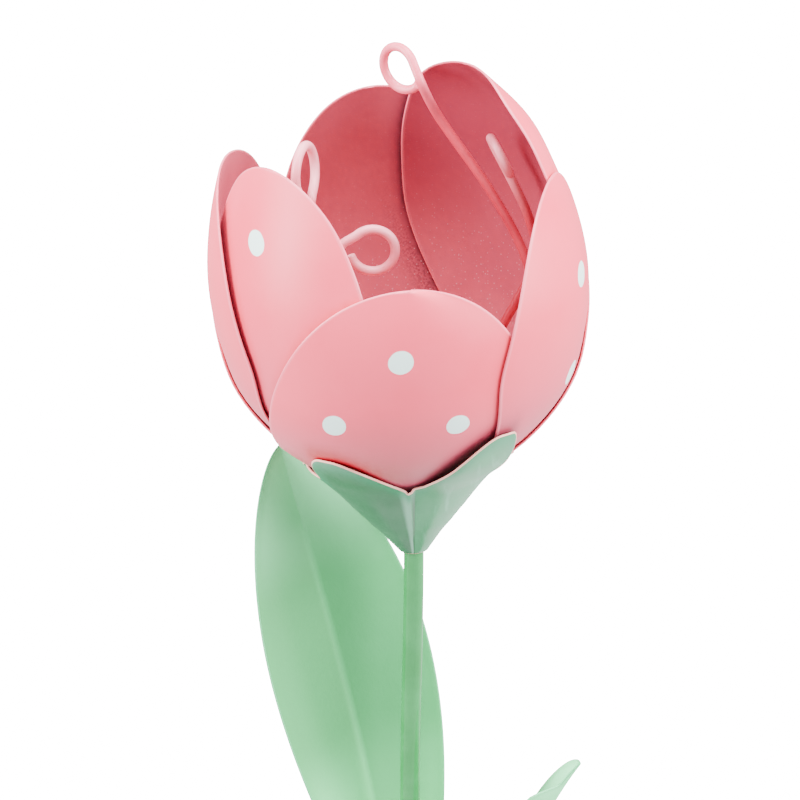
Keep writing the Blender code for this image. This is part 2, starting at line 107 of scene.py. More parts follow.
# Wall of the cup that the petals are pressed to: height, and distance out from the stem's surface
CUP_WALL = (
    (0.000, -0.0025),
    (0.010, 0.0025),
    (0.020, 0.0100),
    (0.030, 0.0190),
    (0.042, 0.0334),
    (0.055, 0.0437),
    (0.070, 0.0485),
    (0.088, 0.0502),
    (0.104, 0.0478),
    (0.118, 0.0433),
    (0.132, 0.0370),
    (0.150, 0.0214),
)
WALL_SAMPLES = 601

# A blank's last row stops short of its tip, at no less than this half width
NARROWEST_HALF = 0.0002

# Petals: rows and columns of the mesh, the part of a row left off at the tip, and the rows' crowding there
PETAL_ROWS = 56
PETAL_COLUMNS = 44
PETAL_ROW_CUT = 0.6
PETAL_ROW_POWER = 1.15
TILT_POWER = 3
# kind: root start, root width, share of the length where it is widest, and how the root narrows
PETAL_KINDS = {
    "tall": (0.012, 0.0064, 0.67, 3.4),
    "short": (0.014, 0.0120, 0.49, 2.0),
}
# name: kind, azimuth, length, width, skew, tilt of the tip outwards, layer, layers per degree, side let in
PETALS = {
    "petal_tall_front_left": ("tall", -41.0, 0.1485, 0.0694, -22.0, 0.0042, 0.0, 0.0, 0),
    "petal_tall_left": ("tall", -94.0, 0.1390, 0.0774, -19.2, 0.0055, 1.0, 0.0, 0),
    "petal_tall_back_left": ("tall", -171.4, 0.1528, 0.0652, -0.4, 0.0003, 1.0, 0.0, 0),
    "petal_tall_back_right": ("tall", 131.9, 0.1725, 0.0936, -22.8, -0.0008, 0.0, -0.004, 0),
    "petal_tall_right": ("tall", 61.8, 0.1390, 0.0626, 25.6, -0.0007, 1.4, 0.0, 0),
    "petal_short_front": ("short", -0.9, 0.1186, 0.0920, 7.2, 0.0016, 1.23, -0.031, 1),
    "petal_short_back_left": ("short", -136.5, 0.1210, 0.0956, -8.4, 0.0044, 2.1, 0.0, -1),
    "petal_short_back_right": ("short", 135.1, 0.1195, 0.0942, 0.5, -0.0010, 2.9, 0.006, 1),
}

# Painted shade and light beside an overlapping sheet: how far the plain and grainy painted shade and the
# painted red bounce light reach, and the bounce light's strength
SHADE_REACH = 0.0019
GRAINY_SHADE_REACH = 0.0060
PAINTED_BOUNCE_REACH = 0.0012
PAINTED_BOUNCE_STRENGTH = 0.4
# Painted red bounce light in the shaded gap above the left sepal, with the azimuths where it starts, is full,
# starts to fade and has gone
CALYX_PAINTED_BOUNCE_RISE = 0.0012
CALYX_PAINTED_BOUNCE_REACH = 0.0038
CALYX_PAINTED_BOUNCE_AZIMUTHS = (-47.0, -39.0, -20.0, -9.0)
# Painted plum shade in the gap above the right sepal, with the azimuths where it starts and is full
CALYX_GAP_SHADE_REACH = 0.0036
CALYX_GAP_SHADE_POWER = 1.5
CALYX_GAP_SHADE_AZIMUTHS = (3.0, 13.0)

# Painted dots on a petal's outer face: where their middles lie across and along the flat blank
DOT_DIAMETER = 0.0072
PETAL_DOTS = {
    "petal_tall_front_left": ((-0.0027, 0.1276), (0.0130, 0.0720)),
    "petal_tall_left": ((0.0050, 0.1120), (-0.0150, 0.0790)),
    "petal_tall_back_left": ((0.0010, 0.1270), (-0.0100, 0.0880)),
    "petal_tall_back_right": ((0.0060, 0.1450), (-0.0200, 0.1120), (0.0230, 0.1060)),
    "petal_tall_right": ((0.0046, 0.1089), (0.0075, 0.0790)),
    "petal_short_front": ((-0.0020, 0.0982), (-0.0211, 0.0769), (0.0152, 0.0750)),
    "petal_short_back_left": ((0.0000, 0.1010), (-0.0200, 0.0790), (0.0190, 0.0770)),
    "petal_short_back_right": ((0.0020, 0.0990), (-0.0180, 0.0760), (0.0210, 0.0780)),
}

# The petal whose inside is painted with more shade towards its tip
TIP_SHADED_INSIDE = "petal_tall_back_right"

# Calyx: height on the cup's wall and the layer it takes there
CALYX_LAYERS = (
    (0.008, 3.6),
    (0.014, 4.4),
    (0.020, 4.6),
    (0.030, 4.4),
    (0.036, 4.25),
    (0.042, 3.75),
    (0.052, 2.6),
)
# It bulges to one side, most at this height, and lies closer to the petal at the front
CALYX_BULGE_LAYERS = 0.9
CALYX_BULGE_AZIMUTH = -110.0
CALYX_BULGE_HEIGHT = 0.030
CALYX_BULGE_FADE = 0.012
CALYX_DIP_LAYERS = 1.6
CALYX_DIP_AZIMUTH = -2.0
CALYX_DIP_HALF_ANGLE = 20.0
CALYX_NECK_RADIUS = 0.0041
CALYX_NECK_HEIGHT = 0.0010
CALYX_VALLEY = 0.0345
CALYX_FRONT_NOTCH = 0.0033
CALYX_FRONT_NOTCH_HALF_ANGLE = 24.0
CALYX_COLUMNS = 336
CALYX_ROWS = 34
CALYX_NECK_ROWS = 6
# A pleat's crest is a little to the right of the join; it slopes gently on the left and drops on the right
PLEAT_HEIGHT = 0.0013
PLEAT_SHARPNESS = 1.4
PLEAT_SPACING = 90.0
PLEAT_CREST = 0.7
PLEAT_LEFT_ANGLE = 9.0
PLEAT_RIGHT_ANGLE = 2.2
SEAM_NOTCH = 0.0011
SEAM_NOTCH_AZIMUTH = -1.6
SEAM_NOTCH_HALF_ANGLE = 1.3
# Sepals: how far one stands above the valleys, and the azimuths where it starts to rise,
# where its top starts, where its top ends and where it is down again
SEPALS = (
    (0.0167, 8.0, 36.0, 41.0, 54.0),
    (0.0050, 98.0, 127.0, 143.0, 172.0),
    (0.0050, -172.0, -143.0, -127.0, -98.0),
    (0.0103, -60.0, -38.0, -33.0, -6.0),
)

# Collar that carries the petals and the stamens
COLLAR_BOTTOM = 0.008
COLLAR_TOP = 0.016
COLLAR_STEPS = 96
COLLAR_LEVELS = 9
COLLAR_INSET_LAYERS = 0.2

# Stamens: wires that stand on the collar and end in a closed loop
WIRE_RADIUS = 0.0014
ROUTE_STEP = 0.0060
WIRE_STEP = 0.0010
WIRE_SIDES = 20
WIRE_END_ROUND = 0.3
LOOP_POINTS = 24
LOOP_GAP = 0.0004
LOOP_LEAD = 0.006
STAMEN_CIRCLE = 0.0060
STAMEN_FOOT_LENGTH = 0.006
# name: azimuth of the foot, route up from it, middle of the loop, azimuth that the loop's
# right-hand side points to, lean of the loop to the left, angle where it starts, its turn,
# its radius, and whether its end slides aside to lie beside its start
STAMENS = {
    "stamen_tall": (60.0, (
        (0.014, -0.002, 0.032),
        (0.030, -0.002, 0.055),
        (0.0375, 0.001, 0.075),
        (0.0364, 0.004, 0.0897),
        (0.0271, 0.009, 0.1086),
        (0.0128, 0.015, 0.1301),
    ), (0.0010, 0.0190, 0.1443), 50.0, 0.0, 25.0, 290.0, 0.0068, True),
    "stamen_left": (-140.0, (
        (-0.012, 0.010, 0.036),
        (-0.024, 0.012, 0.062),
        (-0.0275, 0.013, 0.088),
    ), (-0.0258, 0.0100, 0.1177), 165.0, 0.0, -65.0, 310.0, 0.0068, True),
    "stamen_round": (-60.0, (
        (-0.012, -0.004, 0.030),
        (-0.0205, -0.006, 0.052),
        (-0.0225, -0.004, 0.074),
    ), (-0.0085, 0.000, 0.0946), 90.0, 0.0, 130.0, -295.0, 0.0068, True),
    "stamen_right": (140.0, (
        (0.012, 0.012, 0.036),
        (0.028, 0.018, 0.062),
        (0.0390, 0.0205, 0.082),
        (0.0382, 0.0220, 0.0950),
    ), (0.0302, 0.0200, 0.1160), 190.0, 24.0, -15.0, 250.0, 0.0060, False),
}
CURVE_SAMPLES = 40
# Where the rounding at a rod's end has its rings, in radians
END_ROUND_ANGLES = (0.0, 0.5, 1.0)
# The stamen whose loop is rose; the others' loops are pale pink
ROSE_STAMEN = "stamen_tall"

# Leaves: sheet blanks with a pressed midrib, whose feet wrap the stem
LEAF_WIDTH = 0.056
LEAF_WIDEST = 0.40
LEAF_TIP_POWER = 1.25
LEAF_FOOT_POWER = 1.1
LEAF_FOOT_HALF_ANGLE = 100.0
LEAF_FOOT_LENGTH = 0.012
LEAF_SPREAD_LENGTH = 0.040
LEAF_ROWS = 90
LEAF_ROW_CUT = 0.5
LEAF_ROW_POWER = 1.2
LEAF_HALF_COLUMNS = 20
MIDRIB_SAMPLES = 401
# Where a narrowed tip ends and the half starts to widen, from the tip, and over what length
LEAF_TIP_NARROW_LENGTH = 0.0080
LEAF_TIP_WIDENING_LENGTH = 0.0045
# name: height of the foot below the calyx, azimuth of its right-hand edge, bend of the left and
# right halves, share of its width that the right half keeps at the tip,
# and the midrib's middle and tip as (right, out, up)
LEAVES = {
    "leaf_left": (0.141, 90.0, 44.0, 6.0, 1.0, (-0.016, 0.014, 0.088), (-0.0392, 0.0104, 0.169)),
    "leaf_right": (0.222, 0.0, 3.0, 42.0, 0.2, (0.002, 0.019, 0.114), (0.012, 0.0473, 0.1581)),
}
LEAF_WELD_HEIGHT = 0.0030
LEAF_WELD_WIDTH = 0.0012

# Ground fork: one bent strip
FORK_SPAN = 0.060
FORK_STRIP_WIDTH = 0.012
FORK_STRIP_THICKNESS = 0.003
FORK_BEND_RADIUS = 0.003
FORK_BEND_STEPS = 16
FORK_PRONG_LENGTH = 0.150
FORK_POINT_LENGTH = 0.018
FORK_POINT_WIDTH = 0.0006
FORK_EDGE_RADIUS = 0.00035
FORK_WELD_HEIGHT = 0.0035
FORK_WELD_WIDTH = 0.0022
FORK_BEVEL_STEPS = 2
FORK_BEVEL_ANGLE = 40.0

# Weld beads: columns; as shares of width and height, the foot, and the middle and reach of the rounding
WELD_COLUMNS = 96
WELD_FOOT = 0.85
WELD_ROUND_MIDDLE = (0.2, 0.06)
WELD_ROUND_REACH = (0.72, 0.90)
WELD_ROUND_STEPS = 6
WELD_RIPPLES = 17
WELD_RIPPLE_DEPTH = 0.07
WELD_RIPPLE_LAG = 0.9

# A vector is taken to be at least this long
SHORTEST = 1e-12

# Edges that stay sharp, in degrees
RING_SHARP_ANGLE = 40
ROD_SHARP_ANGLE = 50
FORK_SHARP_ANGLE = 30

HEAD_PLACE = Matrix.Translation((STEM_BOW, 0.0, CALYX_HEIGHT))
HEAD_MATRIX = HEAD_PLACE @ Matrix.Rotation(math.radians(-HEAD_LEAN), 4, "Y")

# Paint colours, in linear light: one colour, or the darker and the lighter tone of a coat
PETAL_PINK = ((0.88, 0.055, 0.115), (0.93, 0.080, 0.145))
PETAL_MAUVE = (0.57, 0.090, 0.150)
# Paler pink by and on a petal's rim: a painted highlight
PETAL_EDGE_HIGHLIGHT_PINK = (0.95, 0.20, 0.28)
PETAL_RIM_HIGHLIGHT_PINK = ((0.90, 0.13, 0.21), (0.94, 0.20, 0.28))
DOT_WHITE = (0.72, 0.93, 0.90)
# Painted red bounce light in shaded gaps between sheets
PAINTED_BOUNCE_RED = (0.52, 0.002, 0.018)
# Painted plum shade in the gap above the right sepal
GAP_SHADE_PLUM = (0.24, 0.022, 0.050)
# Inside of a tall petal: rose darkened in part as painted shade of the cup's hollow
CUP_ROSE_AND_SHADE = ((0.56, 0.082, 0.140), (0.65, 0.105, 0.168))
CUP_PINK = ((0.82, 0.160, 0.220), (0.88, 0.200, 0.260))
# Painted shade towards a petal's tip, inside
CUP_TIP_SHADE_ROSE = (0.30, 0.020, 0.052)
# Paler rose by the rim on the inside: a painted highlight
CUP_EDGE_HIGHLIGHT_ROSE = (0.80, 0.16, 0.22)
CUP_SPECK_PINK = (0.85, 0.48, 0.54)
# Painted plum shade beside a sheet that lies over the inside
SHADE_PLUM = (0.035, 0.008, 0.015)
LOOP_ROSE = ((0.88, 0.120, 0.190), (0.94, 0.190, 0.270))
LOOP_PINK = ((0.95, 0.270, 0.345), (0.98, 0.370, 0.440))
# Painted shade down a stamen's shaft
SHAFT_SHADE_ROSE = ((0.46, 0.020, 0.050), (0.56, 0.032, 0.068))
# Calyx green, darker on the left side as painted shade
CALYX_LEFT_SHADE_GREEN = ((0.036, 0.130, 0.066), (0.056, 0.172, 0.092))
CALYX_RIGHT_GREEN = ((0.055, 0.250, 0.115), (0.085, 0.320, 0.160))
CALYX_STREAK_GREEN = (0.26, 0.58, 0.42)
# Painted highlight on the ridge left of the join, and painted shade right of it
CALYX_JOIN_HIGHLIGHT_GREEN = (0.24, 0.46, 0.34)
CALYX_JOIN_SHADE_GREEN = (0.018, 0.085, 0.038)
CALYX_EDGE_GREEN = (0.025, 0.24, 0.12)
CALYX_RIM_CREAM = ((0.90, 0.36, 0.30), (0.95, 0.52, 0.42))
LEAF_GREEN = ((0.064, 0.475, 0.150), (0.080, 0.520, 0.178))
# Painted shade on a leaf's left half
LEAF_LEFT_SHADE_GREEN = (0.030, 0.300, 0.080)
# Painted light by a leaf's tip, where the flower shades it
LEAF_TIP_LIGHT_GREEN = (0.260, 0.920, 0.430)
LEAF_LOW_GREEN = (0.150, 0.800, 0.300)
LEAF_EDGE_GREEN = (0.040, 0.420, 0.110)
LEAF_SPECK_GREEN = (0.40, 0.75, 0.52)
# Paler green on a leaf's rim: a painted highlight
LEAF_RIM_HIGHLIGHT_GREEN = ((0.10, 0.56, 0.22), (0.15, 0.64, 0.28))
STEM_GREEN = ((0.020, 0.215, 0.050), (0.032, 0.260, 0.072))
WELD_GREEN = ((0.035, 0.30, 0.08), (0.065, 0.40, 0.13))

# Orange peel: bumps to a metre on sheet, on wire and on the rest, and how high they stand
PETAL_PEEL = 900.0
WIRE_PEEL = 1100.0
GREEN_PEEL = 1000.0
PEEL_HEIGHT = 0.00003
RIM_PEEL_HEIGHT = 0.00002

# Bands of paint on a blank: where one starts and is full, and its shares there if they aren't 0 and 1.
# They lie along the blank, across it or in from its rim. Across the calyx is its azimuth, in radians.
# Painted highlight by a petal's rim
PETAL_EDGE_HIGHLIGHT_BAND = (0.0008, 0.0002)
# Painted shade towards a petal's tip, inside
CUP_TIP_SHADE_BAND = (0.080, 0.135)
# Grainy painted shade low down beside an overlapping sheet
CUP_GRAINY_SHADE_BAND = (0.125, 0.085, 0.12, 0.75)
CUP_SPECK_BAND = (0.125, 0.065, 0.05, 0.60)
# Painted shade on the calyx's left side
CALYX_SIDE_SHADE_BAND = (-0.10, 0.10)
CALYX_STREAK_BAND = (0.15, 0.45, 0.0, 0.35)
# Painted highlight on the ridge left of the join, and painted shade right of it
CALYX_JOIN_HIGHLIGHT_BANDS = ((-0.17, -0.05), (0.012, -0.004))
CALYX_JOIN_SHADE_BANDS = ((0.004, 0.020), (0.085, 0.035))
CALYX_EDGE_BAND = (0.0065, 0.0005)
# Painted shade on a leaf's left half
LEAF_LEFT_SHADE_BAND = (0.0006, -0.0030, 0.0, 0.85)
# Painted light by a leaf's tip, where the flower shades it
LEAF_TIP_LIGHT_BAND = (0.128, 0.168)
LEAF_LOW_BAND = (0.085, 0.050, 0.0, 0.85)
LEAF_EDGE_BAND = (0.0040, 0.0006, 0.0, 0.25)
# The mauve of a petal's root, as shares of its length, and the painted shade down a stamen's shaft, down from
# its loop
PETAL_MAUVE_SHARES = (0.35, 0.75)
SHAFT_SHADE_BAND = (-0.004, 0.022)
# How strong the painted shade beside an overlapping sheet is, and bands of noise for its sandy, grainy
# painted shade and for streaks
CUP_SHADE_SHARE = 0.95
CUP_SANDY_SHADE_BAND = (0.38, 0.62, 0.35, 1.0)
CALYX_STREAK_NOISE_BAND = (0.52, 0.75)

# Patches of tone in the enamel, as a band of noise
TONE_BAND = (0.30, 0.70)
# Specks: their radius by how far a cell is within the share, and their soft edge, in cells
SPECK_SIZE_BAND = (0.0, 0.35, 0.0, 0.38)
SPECK_EDGE_BAND = (0.0, 0.10)
# Dots: their soft edge, in radii, and how uneven it is
DOT_EDGE_BAND = (1.04, 0.96)
DOT_UNEVENNESS = 0.08


# Shader nodes

def set_inputs(tree, made, inputs):
    """The node, with its inputs set or linked."""
    for name, value in inputs.items():
        if isinstance(value, bpy.types.NodeSocket):
            tree.links.new(value, made.inputs[name])
        else:
            made.inputs[name].default_value = value
    return made


def node(tree, kind, inputs=None, **settings):
    """New shader node, with its settings and inputs."""
    made = tree.nodes.new("ShaderNode" + kind)
    for name, value in settings.items():
        setattr(made, name, value)
    return set_inputs(tree, made, inputs or {})


def attribute(tree, name):
    """Number that a mesh carries at each point."""
    return node(tree, "Attribute", attribute_name=name).outputs["Fac"]


def maths(tree, operation, first, second):
    return node(tree, "Math", {0: first, 1: second}, operation=operation).outputs[0]


def times(tree, first, second):
    return maths(tree, "MULTIPLY", first, second)


def ramp(tree, value, low, high, to_low=0.0, to_high=1.0):
    """Smooth step of a value from one level to another."""
    inputs = {"Value": value, "From Min": low, "From Max": high, "To Min": to_low, "To Max": to_high}
    return node(tree, "MapRange", inputs, interpolation_type="SMOOTHSTEP").outputs["Result"]


def mix(tree, share, first, second):
    """Colour mixed from two colours or sockets."""
    first, second = ((*value, 1.0) if isinstance(value, tuple) else value for value in (first, second))
    return node(tree, "Mix", {0: share, 6: first, 7: second}, data_type="RGBA").outputs[2]


def cover(tree, colour, mask, share, over):
    """Colour with another one laid over it, by a mask and a share."""
    return mix(tree, times(tree, mask, share), colour, over)


def new_group(name, inputs, outputs):
    """Node group with its sockets, and its input and output nodes."""
    group = bpy.data.node_groups.new(name, "ShaderNodeTree")
    for socket_name, kind in inputs:
        group.interface.new_socket(socket_name, in_out="INPUT", socket_type="NodeSocket" + kind)
    for socket_name, kind in outputs:
        group.interface.new_socket(socket_name, in_out="OUTPUT", socket_type="NodeSocket" + kind)
    return group, group.nodes.new("NodeGroupInput").outputs, group.nodes.new("NodeGroupOutput").inputs


def place_group(tree, group, inputs):
    """Copy of a node group in a material, with its values."""
    made = tree.nodes.new("ShaderNodeGroup")
    made.node_tree = group
    return set_inputs(tree, made, inputs).outputs


def make_enamel_group():
    """Sprayed enamel: slow changes of tone, fine orange peel, and patchy gloss."""
    group, given, result = new_group(
        "sprayed_enamel",
        (("Vector", "Vector"), ("Patch Scale", "Float"), ("Peel Scale", "Float"), ("Dullness", "Float"),
         ("Dullness Change", "Float")),
        (("Tone", "Float"), ("Peel", "Float"), ("Roughness", "Float")),
    )
    patch = node(group, "TexNoise", {
        "Vector": given["Vector"], "Scale": given["Patch Scale"], "Detail": 3.0, "Roughness": 0.55})
    peel = node(group, "TexNoise", {
        "Vector": given["Vector"], "Scale": given["Peel Scale"], "Detail": 2.0, "Roughness": 0.5})
    tone = ramp(group, patch.outputs[0], *TONE_BAND)
    change = times(group, maths(group, "SUBTRACT", tone, 0.5), given["Dullness Change"])
    group.links.new(tone, result["Tone"])
    group.links.new(peel.outputs[0], result["Peel"])
    group.links.new(maths(group, "ADD", given["Dullness"], change), result["Roughness"])
    return group


def make_speckle_group():
    """Fine specks where the spray was thin: round spots of many sizes, kept to a share of the cells."""
    group, given, result = new_group(
        "spray_specks",
        (("Vector", "Vector"), ("Scale", "Float"), ("Share", "Float")),
        (("Mask", "Float"),),
    )
    cells = node(group, "TexVoronoi", {"Vector": given["Vector"], "Scale": given["Scale"], "Randomness": 1.0})
    kept = node(group, "SeparateColor", {"Color": cells.outputs["Color"]}).outputs[0]
    size = ramp(group, maths(group, "SUBTRACT", given["Share"], kept), *SPECK_SIZE_BAND)
    inside = maths(group, "SUBTRACT", size, cells.outputs["Distance"])
    group.links.new(ramp(group, inside, *SPECK_EDGE_BAND), result["Mask"])
    return group


def make_dot_group():
    """One painted dot on a blank, round and with a slightly uneven edge."""
    group, given, result = new_group(
        "painted_dot",
        (("Blank", "Vector"), ("Centre", "Vector")),
        (("Mask", "Float"),),
    )
    offset = node(group, "VectorMath", {0: given["Blank"], 1: given["Centre"]}, operation="SUBTRACT")
    flat = (2 / DOT_DIAMETER, 2 / DOT_DIAMETER, 0.0)
    radii = node(group, "VectorMath", {0: offset.outputs[0], 1: flat}, operation="MULTIPLY")
    distance = node(group, "VectorMath", {0: radii.outputs[0]}, operation="LENGTH").outputs["Value"]
    wave = node(group, "TexNoise", {"Vector": given["Blank"], "Scale": 260.0, "Detail": 1.0}).outputs[0]
    uneven = times(group, maths(group, "SUBTRACT", wave, 0.5), DOT_UNEVENNESS)
    group.links.new(ramp(group, maths(group, "ADD", distance, uneven), *DOT_EDGE_BAND), result["Mask"])
    return group


ENAMEL = make_enamel_group()
SPECKS = make_speckle_group()
DOT = make_dot_group()


# Paints

def new_material(name, view_colour):
    """Material with its tree, its Principled shader and the object's coordinates."""
    material = bpy.data.materials.new(name)
    material.use_nodes = True
    material.diffuse_color = (*view_colour, 1.0)
    tree = material.node_tree
    return material, tree, tree.nodes["Principled BSDF"], node(tree, "TexCoord").outputs["Object"]


def sprayed(name, view_colour, patch_scale, dullness, change, peel_scale=GREEN_PEEL, peel_height=PEEL_HEIGHT):
    """Material with enamel's gloss and orange peel, its tree, the object's coordinates, and the tone."""
    material, tree, shader, place = new_material(name, view_colour)
    enamel = place_group(tree, ENAMEL, {
        "Vector": place, "Patch Scale": patch_scale, "Peel Scale": peel_scale, "Dullness": dullness,
        "Dullness Change": change})
    bump = node(tree, "Bump", {"Height": enamel["Peel"], "Strength": 1.0, "Distance": peel_height})
    tree.links.new(enamel["Roughness"], shader.inputs["Roughness"])
    tree.links.new(bump.outputs["Normal"], shader.inputs["Normal"])
    return material, tree, place, enamel["Tone"]


def finish_paint(material, colour):
    """The material, with its colour joined to its shader."""
    tree = material.node_tree
    tree.links.new(colour, tree.nodes["Principled BSDF"].inputs["Base Color"])
    return material


def blank_place(tree):
    """Place on the flat blank, and its parts: across, along, and distance from the rim."""
    blank = node(tree, "Attribute", attribute_name="blank").outputs["Vector"]
    return (blank, *node(tree, "SeparateXYZ", {0: blank}).outputs)


def speck_mask(tree, place, scale, share):
    return place_group(tree, SPECKS, {"Vector": place, "Scale": scale, "Share": share})["Mask"]


def petal_outer_paint(name, length, dots):
    """Pale satin pink, mauve towards the root, with white dots, painted red bounce light by overlaps, painted
    gap shade and a painted highlight by the rim.
    """
    material, tree, _, tone = sprayed(
        name, (0.83, 0.40, 0.45), patch_scale=26.0, dullness=0.46, change=0.10, peel_scale=PETAL_PEEL)
    blank, _, along, from_rim = blank_place(tree)
    above_root = ramp(tree, along, *(share * length for share in PETAL_MAUVE_SHARES))
    colour = mix(tree, above_root, PETAL_MAUVE, mix(tree, tone, *PETAL_PINK))
    mask = 0.0
    for dot_across, dot_along in dots:
        dot = place_group(tree, DOT, {"Blank": blank, "Centre": (dot_across, dot_along, 0.0)})["Mask"]
        mask = maths(tree, "MAXIMUM", mask, dot)
    colour = mix(tree, mask, colour, DOT_WHITE)
    colour = cover(tree, colour, attribute(tree, "glow"), share=0.97, over=PAINTED_BOUNCE_RED)
    colour = cover(tree, colour, attribute(tree, "gap_shade"), share=0.75, over=GAP_SHADE_PLUM)
    colour = cover(tree, colour, ramp(tree, from_rim, *PETAL_EDGE_HIGHLIGHT_BAND), share=0.5, over=PETAL_EDGE_HIGHLIGHT_PINK)
    return finish_paint(material, colour)


def petal_inner_paint(name, tones, tip_shade):
    """Inside of the cup, with painted shade towards the tip, painted plum shade beside a sheet that lies over
    it, pale specks, and a painted highlight by the rim.
    """
    material, tree, place, tone = sprayed(
        name, (0.60, 0.14, 0.18), patch_scale=30.0, dullness=0.52, change=0.12, peel_scale=PETAL_PEEL)
    _, _, along, from_rim = blank_place(tree)
    colour = cover(tree, mix(tree, tone, *tones), ramp(tree, along, *CUP_TIP_SHADE_BAND), tip_shade, CUP_TIP_SHADE_ROSE)
    noise = node(tree, "TexNoise", {"Vector": place, "Scale": 1500.0, "Detail": 1.0}).outputs[0]
    low_grainy_shade = times(tree, attribute(tree, "grainy_shade"), ramp(tree, along, *CUP_GRAINY_SHADE_BAND))
    sandy_shade = times(tree, low_grainy_shade, ramp(tree, noise, *CUP_SANDY_SHADE_BAND))
    shaded = maths(tree, "MAXIMUM", times(tree, attribute(tree, "shade"), CUP_SHADE_SHARE), sandy_shade)
    colour = mix(tree, shaded, colour, SHADE_PLUM)
    specks = speck_mask(tree, place, scale=1500.0, share=0.36)
    colour = cover(tree, colour, specks, ramp(tree, along, *CUP_SPECK_BAND), CUP_SPECK_PINK)
    colour = cover(tree, colour, ramp(tree, from_rim, *PETAL_EDGE_HIGHLIGHT_BAND), share=0.3, over=CUP_EDGE_HIGHLIGHT_ROSE)
    return finish_paint(material, colour)


def petal_rim_paint():
    """Paler pink along a petal's cut edge, as a painted highlight."""
    material, tree, _, tone = sprayed(
        "petal_rim_highlight_pink", (0.92, 0.58, 0.62), patch_scale=60.0, dullness=0.34, change=0.10,
        peel_scale=PETAL_PEEL, peel_height=RIM_PEEL_HEIGHT)
    return finish_paint(material, mix(tree, tone, *PETAL_RIM_HIGHLIGHT_PINK))


def stamen_paint(name, loop_tones):
    """Paler on the loop, and deep rose down the shaft as painted shade below the loop."""
    material, tree, _, tone = sprayed(
        name, (0.88, 0.50, 0.55), patch_scale=110.0, dullness=0.38, change=0.14, peel_scale=WIRE_PEEL)
    loop = mix(tree, tone, *loop_tones)
    shaft = mix(tree, tone, *SHAFT_SHADE_ROSE)
    return finish_paint(material, mix(tree, ramp(tree, attribute(tree, "down"), *SHAFT_SHADE_BAND), loop, shaft))


def plain_paint(name, tones, patch_scale, dullness, specks_share=0.0):
    """Satin paint with slow changes of tone, and thin spots on a share of it."""
    material, tree, place, tone = sprayed(name, tones[1], patch_scale, dullness, change=0.12)
    colour = mix(tree, tone, *tones)
    if specks_share:
        specks = speck_mask(tree, place, scale=620.0, share=specks_share)
        halfway_to_white = tuple(0.5 + 0.5 * value for value in tones[1])
        colour = cover(tree, colour, specks, share=0.35, over=halfway_to_white)
    return finish_paint(material, colour)


def calyx_paint():
    """Grey green with painted shade on the left side, deeper by the rims, with pale streaks on the right and
    a painted highlight and painted shade at the join's ridge.
    """
    material, tree, place, tone = sprayed(
        "calyx_green", (0.29, 0.50, 0.36), patch_scale=70.0, dullness=0.36, change=0.12)
    _, turn, _, from_rim = blank_place(tree)
    left = mix(tree, tone, *CALYX_LEFT_SHADE_GREEN)
    right = mix(tree, tone, *CALYX_RIGHT_GREEN)
    colour = mix(tree, ramp(tree, turn, *CALYX_SIDE_SHADE_BAND), left, right)
    slant = {"Vector": place, "Rotation": (0.0, 0.65, 0.0), "Scale": (420.0, 60.0, 60.0)}
    slanted = node(tree, "Mapping", slant).outputs[0]
    noise = node(tree, "TexNoise", {"Vector": slanted, "Scale": 1.0}).outputs[0]
    streak = times(tree, ramp(tree, noise, *CALYX_STREAK_NOISE_BAND), ramp(tree, turn, *CALYX_STREAK_BAND))
    colour = mix(tree, streak, colour, CALYX_STREAK_GREEN)
    # Painted highlight on the ridge left of the join, and painted shade right of it
    join_highlight = times(tree, *(ramp(tree, turn, *band) for band in CALYX_JOIN_HIGHLIGHT_BANDS))
    colour = cover(tree, colour, join_highlight, share=0.85, over=CALYX_JOIN_HIGHLIGHT_GREEN)
    join_shade = times(tree, *(ramp(tree, turn, *band) for band in CALYX_JOIN_SHADE_BANDS))
    colour = cover(tree, colour, join_shade, share=0.85, over=CALYX_JOIN_SHADE_GREEN)
    colour = cover(tree, colour, ramp(tree, from_rim, *CALYX_EDGE_BAND), share=0.7, over=CALYX_EDGE_GREEN)
    return finish_paint(material, colour)


def leaf_paint():
    """Leaf green with painted shade on the left half, deeper by the rim, with painted light by the tip under
    the flower, and paler low down.
    """
    material, tree, place, tone = sprayed(
        "leaf_green", (0.27, 0.55, 0.33), patch_scale=32.0, dullness=0.62, change=0.08)
    _, across, along, from_rim = blank_place(tree)
    colour = mix(tree, tone, *LEAF_GREEN)
    colour = mix(tree, ramp(tree, across, *LEAF_LEFT_SHADE_BAND), colour, LEAF_LEFT_SHADE_GREEN)
    colour = mix(tree, ramp(tree, along, *LEAF_TIP_LIGHT_BAND), colour, LEAF_TIP_LIGHT_GREEN)
    colour = mix(tree, ramp(tree, along, *LEAF_LOW_BAND), colour, LEAF_LOW_GREEN)
    colour = mix(tree, ramp(tree, from_rim, *LEAF_EDGE_BAND), colour, LEAF_EDGE_GREEN)
    specks = speck_mask(tree, place, scale=900.0, share=0.10)
    return finish_paint(material, cover(tree, colour, specks, share=0.2, over=LEAF_SPECK_GREEN))


# Camera

def new_object(name, data):
    """Object with the given data, put into the scene."""
    made = bpy.data.objects.new(name, data)
    bpy.context.scene.collection.objects.link(made)
    return made


